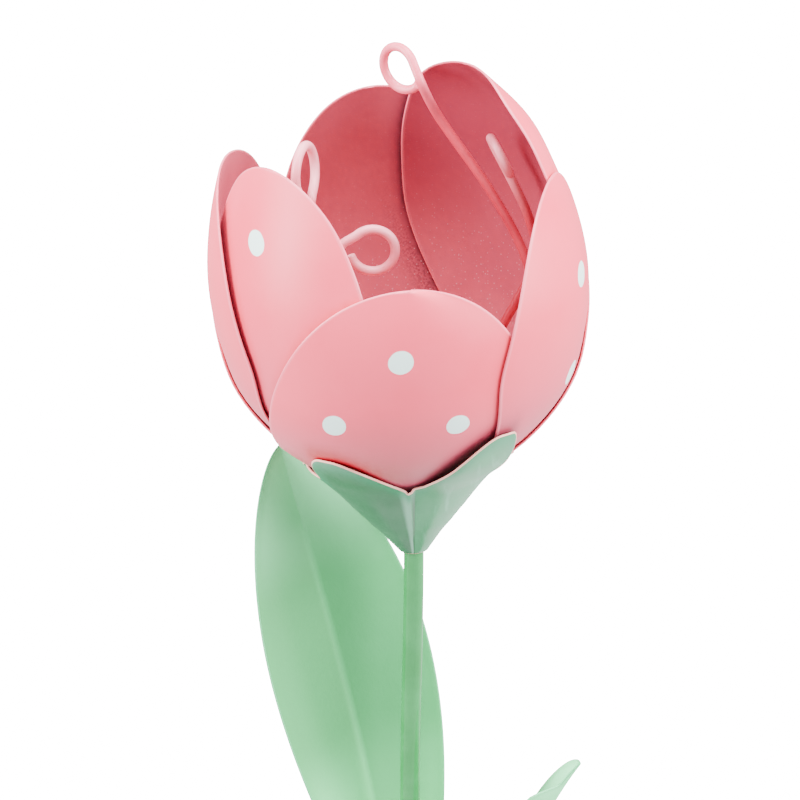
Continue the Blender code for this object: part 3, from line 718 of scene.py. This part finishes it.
def make_camera():
    """Camera that puts the foot of the calyx on its pixel, at the photograph's scale."""
    elevation = math.radians(CAMERA_ELEVATION)
    middle = PICTURE_PIXELS / 2
    foot_right = (CALYX_FOOT_PIXEL[0] - middle) * METRES_PER_PIXEL
    foot_down = (CALYX_FOOT_PIXEL[1] - middle) * METRES_PER_PIXEL
    target = HEAD_MATRIX.translation + Vector((-foot_right, 0.0, foot_down / math.cos(elevation)))
    data = bpy.data.cameras.new("camera")
    data.sensor_width = SENSOR_WIDTH
    data.lens = SENSOR_WIDTH * CAMERA_DISTANCE / (PICTURE_PIXELS * METRES_PER_PIXEL)
    data.clip_end = CAMERA_REACH
    camera = new_object("camera", data)
    back = Vector((0.0, -math.cos(elevation), math.sin(elevation)))
    camera.location = target + CAMERA_DISTANCE * back
    camera.rotation_euler = (math.pi / 2 - elevation, 0.0, 0.0)
    bpy.context.scene.camera = camera


# Meshes

def smooth_step(value, low=0.0, high=1.0):
    """Smooth rise from 0 at the low value to 1 at the high one."""
    t = min(max((value - low) / (high - low), 0.0), 1.0)
    return t * t * (3 - 2 * t)


def less_turns(angle, turn=360.0):
    """Angle less whole turns, so that it is within half a turn of 0."""
    return (angle + turn / 2) % turn - turn / 2


def rows_to_tip(count, cut, power):
    """Shares of a blank's length where its rows lie, closer towards the tip."""
    return [math.sin(math.pi / 2 * (i / (count + cut))) ** power for i in range(count + 1)]


def lengths_along(points):
    """Distance of each point along the path through them."""
    return np.cumsum([0.0] + [(q - p).length for p, q in zip(points, points[1:])])


def even_steps(lengths, step):
    """Distances at even steps along a path, of about the given step."""
    return np.linspace(0.0, lengths[-1], max(2, round(lengths[-1] / step)) + 1)


def around(radius, azimuth, height):
    """Point at a radius, an azimuth in degrees from the front, and a height."""
    angle = math.radians(azimuth)
    return Vector((radius * math.sin(angle), -radius * math.cos(angle), height))


def add_piece(name, data, slot, *nodes):
    """Piece that rides on the part's one body and stands for the given nodes."""
    piece = new_object(name, data)
    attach(piece, "root")
    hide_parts(*nodes)
    return piece


def finish_mesh(bm, name, materials, sharp_angle=None):
    """Mesh with smooth shading, except at edges sharper than an angle."""
    bmesh.ops.recalc_face_normals(bm, faces=bm.faces)
    mesh = bpy.data.meshes.new(name)
    bm.to_mesh(mesh)
    bm.free()
    for material in materials:
        mesh.materials.append(material)
    mesh.shade_smooth()
    if sharp_angle is not None:
        mesh.set_sharp_from_angle(angle=math.radians(sharp_angle))
    return mesh


def unit(vectors):
    return vectors / np.maximum(np.linalg.norm(vectors, axis=-1, keepdims=True), SHORTEST)


def sheet_mesh(name, rows, blanks, materials, closed=False):
    """Sheet metal through rows of points, with a rounded rim.

    Its faces are outer, inner and rim, in that order of materials. blanks holds for each point
    where it lies on the flat blank: across, along, and the distance from the rim. After them come,
    for a petal, the painted shade and the grainy painted shade over its inner face, and the
    painted red bounce light and the painted gap shade by its outer one.
    """
    middle = np.array(rows, float)
    row_count, column_count = middle.shape[:2]
    if closed:
        across = np.roll(middle, -1, axis=1) - np.roll(middle, 1, axis=1)
    else:
        across = np.gradient(middle, axis=1)
    normals = unit(np.cross(across, np.gradient(middle, axis=0)))
    bm = bmesh.new()
    blank_layer = bm.verts.layers.float_vector.new("blank")
    side_layers = [bm.verts.layers.float.new(side_name) for side_name in ("shade", "grainy_shade", "glow", "gap_shade")]

    def add(position, blank):
        vertex = bm.verts.new(position)
        vertex[blank_layer] = blank[:3]
        for side_layer, value in zip(side_layers, blank[3:]):
            vertex[side_layer] = value
        return vertex

    sides = []
    for sign in (1, -1):
        points = middle + sign * SHEET / 2 * normals
        sides.append([
            [add(points[j, i], blanks[j][i]) for i in range(column_count)] for j in range(row_count)])
    outer, inner = sides
    for j in range(row_count - 1):
        for i in range(column_count if closed else column_count - 1):
            k = (i + 1) % column_count
            bm.faces.new((outer[j][i], outer[j][k], outer[j + 1][k], outer[j + 1][i])).material_index = 0
            bm.faces.new((inner[j][k], inner[j][i], inner[j + 1][i], inner[j + 1][k])).material_index = 1

    if closed:
        bottom = [(0, i) for i in range(column_count)]
        top = [(row_count - 1, i) for i in reversed(range(column_count))]
        borders = [bottom, top]
    else:
        border = [(0, i) for i in range(column_count - 1)]
        border += [(j, column_count - 1) for j in range(row_count - 1)]
        border += [(row_count - 1, i) for i in range(column_count - 1, 0, -1)]
        border += [(j, 0) for j in range(row_count - 1, 0, -1)]
        borders = [border]
    for border in borders:
        line = np.array([middle[place] for place in border])
        normal = np.array([normals[place] for place in border])
        along = unit(np.roll(line, -1, axis=0) - np.roll(line, 1, axis=0))
        outward = unit(np.cross(along, normal))
        loops = [[outer[j][i] for j, i in border]]
        for step in range(1, RIM_STEPS):
            angle = math.pi * step / RIM_STEPS
            points = line + SHEET / 2 * math.cos(angle) * normal + RIM_RADIUS * math.sin(angle) * outward
            loops.append([add(point, (*blanks[j][i][:2], 0.0, *blanks[j][i][3:]))
                          for point, (j, i) in zip(points, border)])
        loops.append([inner[j][i] for j, i in border])
        count = len(border)
        for first, second in zip(loops, loops[1:]):
            for i in range(count):
                k = (i + 1) % count
                bm.faces.new((first[k], first[i], second[i], second[k])).material_index = 2
    return finish_mesh(bm, name, materials)


def hermite(heights, values, targets):
    """Smooth curve through the given values, read at the target heights."""
    slopes = np.gradient(values, heights)
    k = np.clip(np.searchsorted(heights, targets, side="right") - 1, 0, len(heights) - 2)
    step = heights[k + 1] - heights[k]
    t = (targets - heights[k]) / step
    start = (2 * t**3 - 3 * t**2 + 1) * values[k] + (t**3 - 2 * t**2 + t) * step * slopes[k]
    end = (3 * t**2 - 2 * t**3) * values[k + 1] + (t**3 - t**2) * step * slopes[k + 1]
    return start + end


def cup_wall():
    """Distance along the cup's wall, with the radius, height and outward normal there."""
    heights = np.array([height for height, _ in CUP_WALL])
    radii = np.array([STEM_RADIUS + out for _, out in CUP_WALL])
    z = np.linspace(heights[0], heights[-1], WALL_SAMPLES)
    r = hermite(heights, radii, z)
    s = np.concatenate([[0.0], np.cumsum(np.hypot(np.diff(z), np.diff(r)))])
    slope_r = np.gradient(r, s)
    slope_z = np.gradient(z, s)
    size = np.hypot(slope_r, slope_z)
    return s, r, z, slope_z / size, -slope_r / size


WALL = cup_wall()


def wall_at(distance):
    """Radius, height, and the normal's radial and vertical parts, at a distance along the wall."""
    s = WALL[0]
    return tuple(float(np.interp(distance, s, values)) for values in WALL[1:])


def wall_distance(height):
    return float(np.interp(height, WALL[2], WALL[0]))


def petal_half_width(s, kind, length, half):
    """Half the width of a petal's blank at a distance along it."""
    root_start, root_width, widest_share, power = PETAL_KINDS[kind]
    widest = widest_share * length
    if s > widest:
        return half * math.sqrt(max(0.0, 1 - ((s - widest) / (length - widest)) ** 2))
    t = (s - root_start) / (widest - root_start)
    return root_width / 2 + (half - root_width / 2) * math.sin(math.pi / 2 * t) ** power


def overlap_shares(name, s, r, height, turn):
    """Painted shade and grainy painted shade on a petal's inner face, and painted red bounce light and
    painted gap shade on its outer face, at a place on the wall.
    """
    own_kind, azimuth, _, _, _, _, layer, slope, _ = PETALS[name]
    own_layer = layer + slope * (turn - azimuth)
    shade = 0.0
    grainy_shade = 0.0
    glow = 0.0
    for other, (kind, middle, length, width, skew, _, other_layer, other_slope, _) in PETALS.items():
        if other == name or not PETAL_KINDS[kind][0] < s < length:
            continue
        from_middle = less_turns(turn - middle - skew * (s / length - 0.5))
        half = petal_half_width(s, kind, length, width / 2)
        beyond = max(0.0, math.radians(abs(from_middle)) * r - half)
        if other_layer + other_slope * from_middle >= own_layer:
            glow = max(glow, PAINTED_BOUNCE_STRENGTH * math.exp(-beyond / PAINTED_BOUNCE_REACH))
        elif own_kind == "tall":
            shade = max(shade, math.exp(-beyond / SHADE_REACH))
            grainy_shade = max(grainy_shade, math.exp(-(beyond / GRAINY_SHADE_REACH) ** 2))
    above = height - sepal_height(turn)
    place = less_turns(turn)
    start, full, fading, gone = CALYX_PAINTED_BOUNCE_AZIMUTHS
    by_left_sepal = smooth_step(place, gone, fading) * smooth_step(place, start, full)
    glow = max(glow, by_left_sepal * math.exp(-(max(0.0, above - CALYX_PAINTED_BOUNCE_RISE) / CALYX_PAINTED_BOUNCE_REACH) ** 2))
    by_right_sepal = smooth_step(place, *CALYX_GAP_SHADE_AZIMUTHS)
    gap_shade = by_right_sepal * math.exp(-(max(0.0, above) / CALYX_GAP_SHADE_REACH) ** CALYX_GAP_SHADE_POWER)
    return shade, grainy_shade, glow, gap_shade


def petal(name):
    """Petal pressed to the cup's wall, with closer rows towards its tip."""
    kind, azimuth, length, width, skew, tilt, layer, slope, let_in = PETALS[name]
    root_start = PETAL_KINDS[kind][0]
    rows = []
    blanks = []
    for share in rows_to_tip(PETAL_ROWS, PETAL_ROW_CUT, PETAL_ROW_POWER):
        s = root_start + (length - root_start) * share
        r, z, nr, nz = wall_at(s)
        half = max(petal_half_width(s, kind, length, width / 2) - RIM_RADIUS, NARROWEST_HALF)
        row = []
        blank_row = []
        for i in range(PETAL_COLUMNS + 1):
            across = math.sin(math.pi / 2 * (2 * i / PETAL_COLUMNS - 1))
            spread = math.degrees(across * half / (r + layer * LAYER_PITCH))
            turn = azimuth + skew * (s / length - 0.5) + spread
            fade = 1 - smooth_step(let_in * across)
            out = (layer + slope * (turn - azimuth)) * LAYER_PITCH
            out += tilt * fade * (s / length) ** TILT_POWER
            row.append(HEAD_MATRIX @ around(r + out * nr, turn, z + out * nz))
            from_rim = min(half * (1 - abs(across)), length - s)
            blank_row.append((across * half, s, from_rim, *overlap_shares(name, s, r, z, turn)))
        rows.append(row)
        blanks.append(blank_row)
    outer = petal_outer_paint(name + "_paint", length, PETAL_DOTS[name])
    inner = PETAL_INNER_TIP_SHADED if name == TIP_SHADED_INSIDE else PETAL_INNER[kind]
    mesh = sheet_mesh(name, rows, blanks, (outer, inner, PETAL_RIM_HIGHLIGHT))
    add_piece(name + "_sheet", mesh, "petal_paint", name)


def sepal_height(azimuth):
    """Height of the calyx's rim on the cup's wall."""
    place = less_turns(azimuth)
    notch = 1 - smooth_step(abs(place), 0.0, CALYX_FRONT_NOTCH_HALF_ANGLE)
    height = CALYX_VALLEY - CALYX_FRONT_NOTCH * notch
    for rise, start, top_start, top_end, end in SEPALS:
        height += rise * (smooth_step(place, start, top_start) - smooth_step(place, top_end, end))
    return height


def calyx_layer(azimuth, height):
    """Layer, counted out from the cup's wall, that the calyx takes at an azimuth and a height."""
    heights = [level for level, _ in CALYX_LAYERS]
    layers = [layer for _, layer in CALYX_LAYERS]
    growth = min(1.0, height / CALYX_BULGE_HEIGHT)
    fade = 1 - smooth_step((height - CALYX_BULGE_HEIGHT) / CALYX_BULGE_FADE)
    bulge = CALYX_BULGE_LAYERS * fade * math.cos(math.radians(azimuth - CALYX_BULGE_AZIMUTH))
    from_dip = less_turns(azimuth - CALYX_DIP_AZIMUTH)
    dip = CALYX_DIP_LAYERS * math.exp(-(from_dip / CALYX_DIP_HALF_ANGLE) ** 4)
    return float(np.interp(height, heights, layers)) + growth * (bulge - dip)


def calyx():
    """Cone over the petals' roots, with a pinched pleat between each two sepals."""
    bottom = CALYX_LAYERS[0][0]
    columns = [360 * column / CALYX_COLUMNS for column in range(CALYX_COLUMNS)]
    rows = []
    blanks = []
    for j in range(CALYX_ROWS + 1):
        share = j / CALYX_ROWS
        row = []
        blank_row = []
        for azimuth in columns:
            place = less_turns(azimuth)
            notch = math.exp(-((place - SEAM_NOTCH_AZIMUTH) / SEAM_NOTCH_HALF_ANGLE) ** 2)
            top = sepal_height(azimuth) - SEAM_NOTCH * notch
            height = bottom + (top - bottom) * share
            r, z, nr, nz = wall_at(wall_distance(height))
            from_crest = less_turns(azimuth - PLEAT_CREST, PLEAT_SPACING)
            reach = PLEAT_LEFT_ANGLE if from_crest < 0 else PLEAT_RIGHT_ANGLE
            pinch = max(0.0, 1 - abs(from_crest) / reach) ** PLEAT_SHARPNESS
            out = calyx_layer(azimuth, height) * LAYER_PITCH + PLEAT_HEIGHT * pinch * share
            row.append(HEAD_MATRIX @ around(r + out * nr, azimuth, z + out * nz))
            blank_row.append((math.radians(place), height, top - height))
        rows.append(row)
        blanks.append(blank_row)
    neck = [HEAD_MATRIX @ around(CALYX_NECK_RADIUS, azimuth, CALYX_NECK_HEIGHT) for azimuth in columns]
    lower_rows = []
    lower_blanks = []
    for j in range(CALYX_NECK_ROWS):
        share = j / CALYX_NECK_ROWS
        lower_rows.append([low.lerp(high, share) for low, high in zip(neck, rows[0])])
        lower_blanks.append([(blank[0], share * bottom, blank[2]) for blank in blanks[0]])
    mesh = sheet_mesh("calyx", lower_rows + rows, lower_blanks + blanks, CALYX_PAINTS, closed=True)
    add_piece("calyx_sheet", mesh, "calyx_paint", "calyx")


def turned_mesh(name, profile, columns, material, ripple=None):
    """Ring turned round the Z axis from a closed profile, whose radius can ripple."""
    bm = bmesh.new()
    rings = []
    for column in range(columns):
        azimuth = 360 * column / columns
        rings.append([bm.verts.new(around(r + (ripple(azimuth, k) if ripple else 0.0), azimuth, z))
                      for k, (r, z) in enumerate(profile)])
    count = len(profile)
    for column, ring in enumerate(rings):
        following = rings[(column + 1) % columns]
        for k in range(count):
            m = (k + 1) % count
            bm.faces.new((ring[k], following[k], following[m], ring[m]))
    return finish_mesh(bm, name, (material,), RING_SHARP_ANGLE)


def collar():
    """Turned ring on the stem's end. Gives its top's height."""
    inset = SHEET / 2 + CLEARANCE + COLLAR_INSET_LAYERS * LAYER_PITCH
    side = []
    for height in np.linspace(COLLAR_TOP, COLLAR_BOTTOM, COLLAR_LEVELS):
        r, z, nr, nz = wall_at(wall_distance(height))
        side.append((r - inset * nr, z - inset * nz))
    profile = side + [(BORE_RADIUS, side[-1][1]), (BORE_RADIUS, side[0][1])]
    mesh = turned_mesh("petal_collar", profile, COLLAR_STEPS, STEM_PAINT)
    mesh.transform(HEAD_MATRIX)
    add_piece("petal_collar_ring", mesh, "stem_paint", "petal_collar")
    return side[0][1]


def catmull_rom(points, step):
    """Points at even steps along a smooth curve through the given points."""
    padded = [2 * points[0] - points[1]] + points + [2 * points[-1] - points[-2]]
    dense = []
    for a, b, c, d in zip(padded, padded[1:], padded[2:], padded[3:]):
        for i in range(CURVE_SAMPLES):
            t = i / CURVE_SAMPLES
            dense.append(0.5 * (2 * b + (c - a) * t + (2 * a - 5 * b + 4 * c - d) * t**2
                                + (3 * b - a - 3 * c + d) * t**3))
    dense.append(points[-1])
    lengths = lengths_along(dense)
    coordinates = np.array(dense)
    columns = [np.interp(even_steps(lengths, step), lengths, coordinates[:, k]) for k in range(3)]
    return [Vector(point) for point in zip(*columns)]


def loop_points(centre, facing, lean, start, turn, radius, slides):
    """Turn of wire about a centre, whose end can slide aside to lie beside its start."""
    right = around(1.0, facing, 0.0)
    tilt = math.radians(lean)
    up = Vector((-math.sin(tilt), 0.0, math.cos(tilt)))
    aside = right.cross(up).normalized()
    drift = 2 * WIRE_RADIUS + LOOP_GAP if slides else 0.0
    points = []
    for i in range(LOOP_POINTS + 1):
        share = i / LOOP_POINTS
        angle = math.radians(start + turn * share)
        flat = math.cos(angle) * right + math.sin(angle) * up
        points.append(centre + radius * flat - drift * share * aside)
    return points


def rod_mesh(name, points, radius, sides, material, end_round):
    """Round rod along a list of points, swept without twist, with its ends' edges rounded off."""
    directions = [(points[min(i + 1, len(points) - 1)] - points[max(i - 1, 0)]).normalized()
                  for i in range(len(points))]
    side = directions[0].orthogonal().normalized()
    edge = radius * end_round
    rounding = [(edge * (1 - math.cos(a)), radius - edge * (1 - math.sin(a))) for a in END_ROUND_ANGLES]
    start, *middle, end = zip(points, directions)
    stations = [(start[0] + inset * start[1], start[1], size) for inset, size in rounding]
    stations += [(point, direction, radius) for point, direction in middle]
    stations += [(end[0] - inset * end[1], end[1], size) for inset, size in reversed(rounding)]
    bm = bmesh.new()
    rings = []
    for centre, direction, size in stations:
        side = (side - direction * side.dot(direction)).normalized()
        other = direction.cross(side)
        ring = []
        for k in range(sides):
            angle = 2 * math.pi * k / sides
            ring.append(bm.verts.new(centre + size * (math.cos(angle) * side + math.sin(angle) * other)))
        rings.append(ring)
    for first, second in zip(rings, rings[1:]):
        for k in range(sides):
            m = (k + 1) % sides
            bm.faces.new((first[k], first[m], second[m], second[k]))
    bm.faces.new(list(reversed(rings[0])))
    bm.faces.new(rings[-1])
    return finish_mesh(bm, name, (material,), ROD_SHARP_ANGLE)


def smooth_path(points, step):
    """Points at even steps along a curve that passes through each given point."""
    lengths = lengths_along(points)
    coordinates = np.array(points)
    columns = [hermite(lengths, coordinates[:, k], even_steps(lengths, step)) for k in range(3)]
    return [Vector(point) for point in zip(*columns)]


def stamen(name, foot_height):
    """Wire from the collar's top along a route, and then round a loop.

    Its attribute "down" says how far below the loop a point is along the wire.
    """
    foot_azimuth, route, centre, *bend = STAMENS[name]
    foot = around(STAMEN_CIRCLE, foot_azimuth, foot_height)
    above = foot + Vector((0.0, 0.0, STAMEN_FOOT_LENGTH))
    loop = loop_points(Vector(centre), *bend)
    lead = loop[0] - (loop[1] - loop[0]).normalized() * LOOP_LEAD
    shaft = catmull_rom([foot, above] + [Vector(point) for point in route] + [lead, loop[0]], ROUTE_STEP)
    path = smooth_path(shaft + loop[1:], WIRE_STEP)
    paint = STAMEN_ROSE if name == ROSE_STAMEN else STAMEN_PINK
    mesh = rod_mesh(name, path, WIRE_RADIUS, WIRE_SIDES, paint, WIRE_END_ROUND)
    loop_length = lengths_along(loop)[-1]
    down = mesh.attributes.new("down", "FLOAT", "POINT")
    for index, item in enumerate(down.data):
        item.value = (len(path) - index / WIRE_SIDES) * WIRE_STEP - loop_length
    mesh.transform(HEAD_MATRIX)
    add_piece(name + "_wire", mesh, "stamen_paint", name)


def stem(top):
    """Rod from the crossbar up to the collar, with the slight bow that it has below the flower."""
    bow_start = CALYX_HEIGHT - STEM_BOW_LENGTH
    heights = np.linspace(STEM_BOTTOM, bow_start, STEM_STEPS + 1)
    points = [Vector((0.0, 0.0, height)) for height in heights[:-1]]
    for share in np.linspace(0.0, 1.0, STEM_BOW_STEPS + 1):
        offset = STEM_BOW * (1 - math.cos(math.pi * share)) / 2
        points.append(Vector((offset, 0.0, bow_start + share * STEM_BOW_LENGTH)))
    points += [HEAD_MATRIX @ Vector((0.0, 0.0, height)) for height in (top / 2, top)]
    mesh = rod_mesh("stem", points, STEM_RADIUS, STEM_SIDES, STEM_PAINT, STEM_END_ROUND)
    add_piece("stem_rod", mesh, "stem_paint", "stem")


def leaf_half_width(from_tip):
    """Half the leaf's width, by the share of its length from the tip."""
    half = LEAF_WIDTH / 2
    foot = BORE_RADIUS * math.radians(LEAF_FOOT_HALF_ANGLE)
    if from_tip < LEAF_WIDEST:
        t = 1 - from_tip / LEAF_WIDEST
        return half * math.sqrt(max(0.0, 1 - t * t)) ** LEAF_TIP_POWER
    t = (from_tip - LEAF_WIDEST) / (1 - LEAF_WIDEST)
    return foot + (half - foot) * max(0.0, math.cos(math.pi / 2 * t)) ** LEAF_FOOT_POWER


def bezier_by_length(start, middle, end, shares):
    """Points and directions on a quadratic curve, at shares of its length."""
    def point_at(t):
        return start * (1 - t) ** 2 + middle * 2 * t * (1 - t) + end * t * t

    dense = np.linspace(0.0, 1.0, MIDRIB_SAMPLES)
    lengths = lengths_along([point_at(t) for t in dense])
    result = []
    for share in shares:
        t = float(np.interp(share * lengths[-1], lengths, dense))
        direction = ((middle - start) * (1 - t) + (end - middle) * t).normalized()
        result.append((point_at(t), direction))
    return result, float(lengths[-1])


def leaf(name):
    """Leaf whose foot wraps the stem. Gives its foot's height."""
    drop, right_azimuth, left_bend, right_bend, tip_share, middle, tip = LEAVES[name]
    height = CALYX_HEIGHT - drop
    right = around(1.0, right_azimuth, 0.0)
    inward = right.cross(Vector((0.0, 0.0, 1.0)))
    foot_radius = BORE_RADIUS + SHEET / 2
    foot = Vector((0.0, 0.0, height)) - foot_radius * inward

    def place(offsets):
        side, out, up = offsets
        return foot + right * side - inward * out + Vector((0.0, 0.0, up))

    shares = rows_to_tip(LEAF_ROWS, LEAF_ROW_CUT, LEAF_ROW_POWER)
    midrib, length = bezier_by_length(foot, place(middle), place(tip), shares)
    rows = []
    blanks = []
    for share, (point, direction) in zip(shares, midrib):
        half = max(leaf_half_width(1 - share) - RIM_RADIUS, NARROWEST_HALF)
        widening = smooth_step(((1 - share) * length - LEAF_TIP_NARROW_LENGTH) / LEAF_TIP_WIDENING_LENGTH)
        right_half = half * (tip_share + (1 - tip_share) * widening)
        level_side = (right - direction * right.dot(direction)).normalized()
        valley = level_side.cross(direction).normalized()
        spread = smooth_step((share * length - LEAF_FOOT_LENGTH) / LEAF_SPREAD_LENGTH)
        row = []
        blank_row = []
        for i in range(-LEAF_HALF_COLUMNS, LEAF_HALF_COLUMNS + 1):
            across = i / LEAF_HALF_COLUMNS
            bend = math.radians(right_bend if across > 0 else left_bend)
            reach = right_half if across > 0 else half
            sideways = across * math.cos(bend) * level_side + abs(across) * math.sin(bend) * valley
            wrap = math.radians(LEAF_FOOT_HALF_ANGLE) * across
            from_axis = foot_radius * (math.sin(wrap) * right - math.cos(wrap) * inward)
            wrapped = Vector((0.0, 0.0, point.z)) + from_axis
            row.append(wrapped.lerp(point + reach * sideways, spread))
            from_rim = min(reach * (1 - abs(across)), (1 - share) * length)
            blank_row.append((across * reach, share * length, from_rim))
        rows.append(row)
        blanks.append(blank_row)
    mesh = sheet_mesh(name, rows, blanks, LEAF_PAINTS)
    add_piece(name + "_sheet", mesh, "leaf_paint", name)
    return height


def weld_bead(name, bottom, height, width):
    """Rippled bead of weld round the stem, wide at its foot."""
    profile = [(BORE_RADIUS, 0.0), (BORE_RADIUS + WELD_FOOT * width, 0.0)]
    for step in range(WELD_ROUND_STEPS + 1):
        angle = math.pi / 2 * step / WELD_ROUND_STEPS
        out = WELD_ROUND_MIDDLE[0] + WELD_ROUND_REACH[0] * math.cos(angle)
        up = WELD_ROUND_MIDDLE[1] + WELD_ROUND_REACH[1] * math.sin(angle)
        profile.append((BORE_RADIUS + width * out, height * up))
    profile.append((BORE_RADIUS, height))
    last = len(profile) - 1

    def ripple(azimuth, k):
        if k in (0, 1, last):
            return 0.0
        wave = math.sin(math.radians(azimuth * WELD_RIPPLES) + WELD_RIPPLE_LAG * k)
        return WELD_RIPPLE_DEPTH * width * wave * math.sin(math.pi * k / last)

    mesh = turned_mesh(name, profile, WELD_COLUMNS, WELD_PAINT, ripple)
    mesh.transform(Matrix.Translation((0.0, 0.0, bottom)))
    add_piece(name + "_bead", mesh, "stem_paint", name)


def ground_fork():
    """Strip bent to a staple, with its edges broken, between two pointed prongs."""
    outer = FORK_SPAN / 2
    inner = outer - FORK_STRIP_THICKNESS
    outer_bend = FORK_BEND_RADIUS + FORK_STRIP_THICKNESS
    bend_x = inner - FORK_BEND_RADIUS
    bend_z = -FORK_BEND_RADIUS
    prong_middle = outer - FORK_STRIP_THICKNESS / 2
    shoulder = -FORK_PRONG_LENGTH + FORK_POINT_LENGTH
    half_point = FORK_POINT_WIDTH / 2

    def bend(radius, turns):
        angles = [math.radians(90 * turn) for turn in turns]
        return [(bend_x + radius * math.cos(angle), bend_z + radius * math.sin(angle)) for angle in angles]

    turns = [i / FORK_BEND_STEPS for i in range(FORK_BEND_STEPS + 1)]
    right_half = bend(outer_bend, reversed(turns))
    right_half.append((outer, shoulder))
    right_half.append((prong_middle + half_point, -FORK_PRONG_LENGTH))
    right_half.append((prong_middle - half_point, -FORK_PRONG_LENGTH))
    right_half.append((inner, shoulder))
    right_half += bend(FORK_BEND_RADIUS, turns)
    outline = right_half + [(-x, z) for x, z in reversed(right_half)]
    bm = bmesh.new()
    front = [bm.verts.new((x, -FORK_STRIP_WIDTH / 2, z)) for x, z in outline]
    face = bm.faces.new(front)
    made = bmesh.ops.extrude_face_region(bm, geom=[face])
    moved = [item for item in made["geom"] if isinstance(item, bmesh.types.BMVert)]
    bmesh.ops.translate(bm, verts=moved, vec=(0.0, FORK_STRIP_WIDTH, 0.0))
    mesh = finish_mesh(bm, "ground_fork", (STEM_PAINT,), FORK_SHARP_ANGLE)
    piece = add_piece("ground_fork_strip", mesh, "stem_paint", "ground_fork")
    bevel = piece.modifiers.new("broken edges", "BEVEL")
    bevel.width = FORK_EDGE_RADIUS
    bevel.segments = FORK_BEVEL_STEPS
    bevel.limit_method = "ANGLE"
    bevel.angle_limit = math.radians(FORK_BEVEL_ANGLE)


# Stage

def add_area_light(name, place, size, power):
    data = bpy.data.lights.new(name, "AREA")
    data.shape = "RECTANGLE"
    data.size = size[0]
    data.size_y = size[1]
    data.energy = power
    light = new_object(name, data)
    light.location = place
    light.rotation_euler = (Vector(LIGHTS_AIM) - Vector(place)).to_track_quat("-Z", "Y").to_euler()


def make_stage():
    """Plain pale floor that reads as white, a soft light from each side and above, and an even sky."""
    bm = bmesh.new()
    bmesh.ops.create_grid(bm, x_segments=1, y_segments=1, size=FLOOR_HALF_SIZE)
    mesh = bpy.data.meshes.new("floor")
    bm.to_mesh(mesh)
    bm.free()
    material, tree, shader, place = new_material("floor_white", (0.9, 0.9, 0.9))
    tone = node(tree, "TexNoise", {"Vector": place, "Scale": 1.5}).outputs[0]
    tree.links.new(mix(tree, tone, *FLOOR_TONES), shader.inputs["Base Color"])
    shader.inputs["Roughness"].default_value = FLOOR_ROUGHNESS
    rays = node(tree, "LightPath").outputs
    seen = times(tree, rays["Is Camera Ray"], FLOOR_BACKLIGHT)
    mirrored = times(tree, rays["Is Glossy Ray"], FLOOR_MIRRORED)
    strength = maths(tree, "MAXIMUM", seen, mirrored)
    glow = node(tree, "Emission", {"Color": (1.0, 1.0, 1.0, 1.0), "Strength": strength})
    final = node(tree, "AddShader", {0: shader.outputs[0], 1: glow.outputs[0]})
    tree.links.new(final.outputs[0], tree.nodes["Material Output"].inputs["Surface"])
    mesh.materials.append(material)
    floor = new_object("floor", mesh)
    floor.location.z = CAD_BOX[0].z - FLOOR_GAP
    world = bpy.data.worlds.new("studio")
    world.use_nodes = True
    sky = world.node_tree.nodes["Background"].inputs
    sky["Color"].default_value = (1.0, 1.0, 1.0, 1.0)
    sky["Strength"].default_value = SKY_STRENGTH
    bpy.context.scene.world = world
    for name, (light_place, size, power) in SOFTBOXES.items():
        add_area_light(name, light_place, size, power)


make_camera()
make_stage()

# Inner paints: the tall petals' rose is partly painted shade of the cup's hollow, and one has more painted
# shade towards its tip
PETAL_INNER = {
    "tall": petal_inner_paint("petal_inner_rose_and_shade", CUP_ROSE_AND_SHADE, tip_shade=0.15),
    "short": petal_inner_paint("petal_inner_pink", CUP_PINK, tip_shade=0.0),
}
PETAL_INNER_TIP_SHADED = petal_inner_paint("petal_inner_tip_shaded_rose", CUP_ROSE_AND_SHADE, tip_shade=0.85)
# Paler pink on the petals' rims: a painted highlight
PETAL_RIM_HIGHLIGHT = petal_rim_paint()
STAMEN_ROSE = stamen_paint("stamen_rose", LOOP_ROSE)
STAMEN_PINK = stamen_paint("stamen_pink", LOOP_PINK)
CALYX_OUTER = calyx_paint()
CALYX_RIM = plain_paint("calyx_rim_cream", CALYX_RIM_CREAM, patch_scale=90.0, dullness=0.38)
CALYX_PAINTS = (CALYX_OUTER, CALYX_OUTER, CALYX_RIM)
LEAF_OUTER = leaf_paint()
# Paler green on the leaves' rims: a painted highlight
LEAF_RIM_HIGHLIGHT = plain_paint("leaf_rim_highlight_green", LEAF_RIM_HIGHLIGHT_GREEN, patch_scale=90.0, dullness=0.36)
LEAF_PAINTS = (LEAF_OUTER, LEAF_OUTER, LEAF_RIM_HIGHLIGHT)
STEM_PAINT = plain_paint("stem_green", STEM_GREEN, patch_scale=90.0, dullness=0.15, specks_share=0.10)
WELD_PAINT = plain_paint("weld_green", WELD_GREEN, patch_scale=400.0, dullness=0.45, specks_share=0.12)

for petal_name in PETALS:
    petal(petal_name)
calyx()
COLLAR_TOP_FACE = collar()
for stamen_name in STAMENS:
    stamen(stamen_name, COLLAR_TOP_FACE + CLEARANCE)
stem(COLLAR_TOP_FACE)
for leaf_name in LEAVES:
    weld_bottom = leaf(leaf_name) - CLEARANCE - LEAF_WELD_HEIGHT
    weld_bead(leaf_name + "_weld", weld_bottom, LEAF_WELD_HEIGHT, LEAF_WELD_WIDTH)
ground_fork()
weld_bead("fork_weld", STEM_BOTTOM, FORK_WELD_HEIGHT, FORK_WELD_WIDTH)
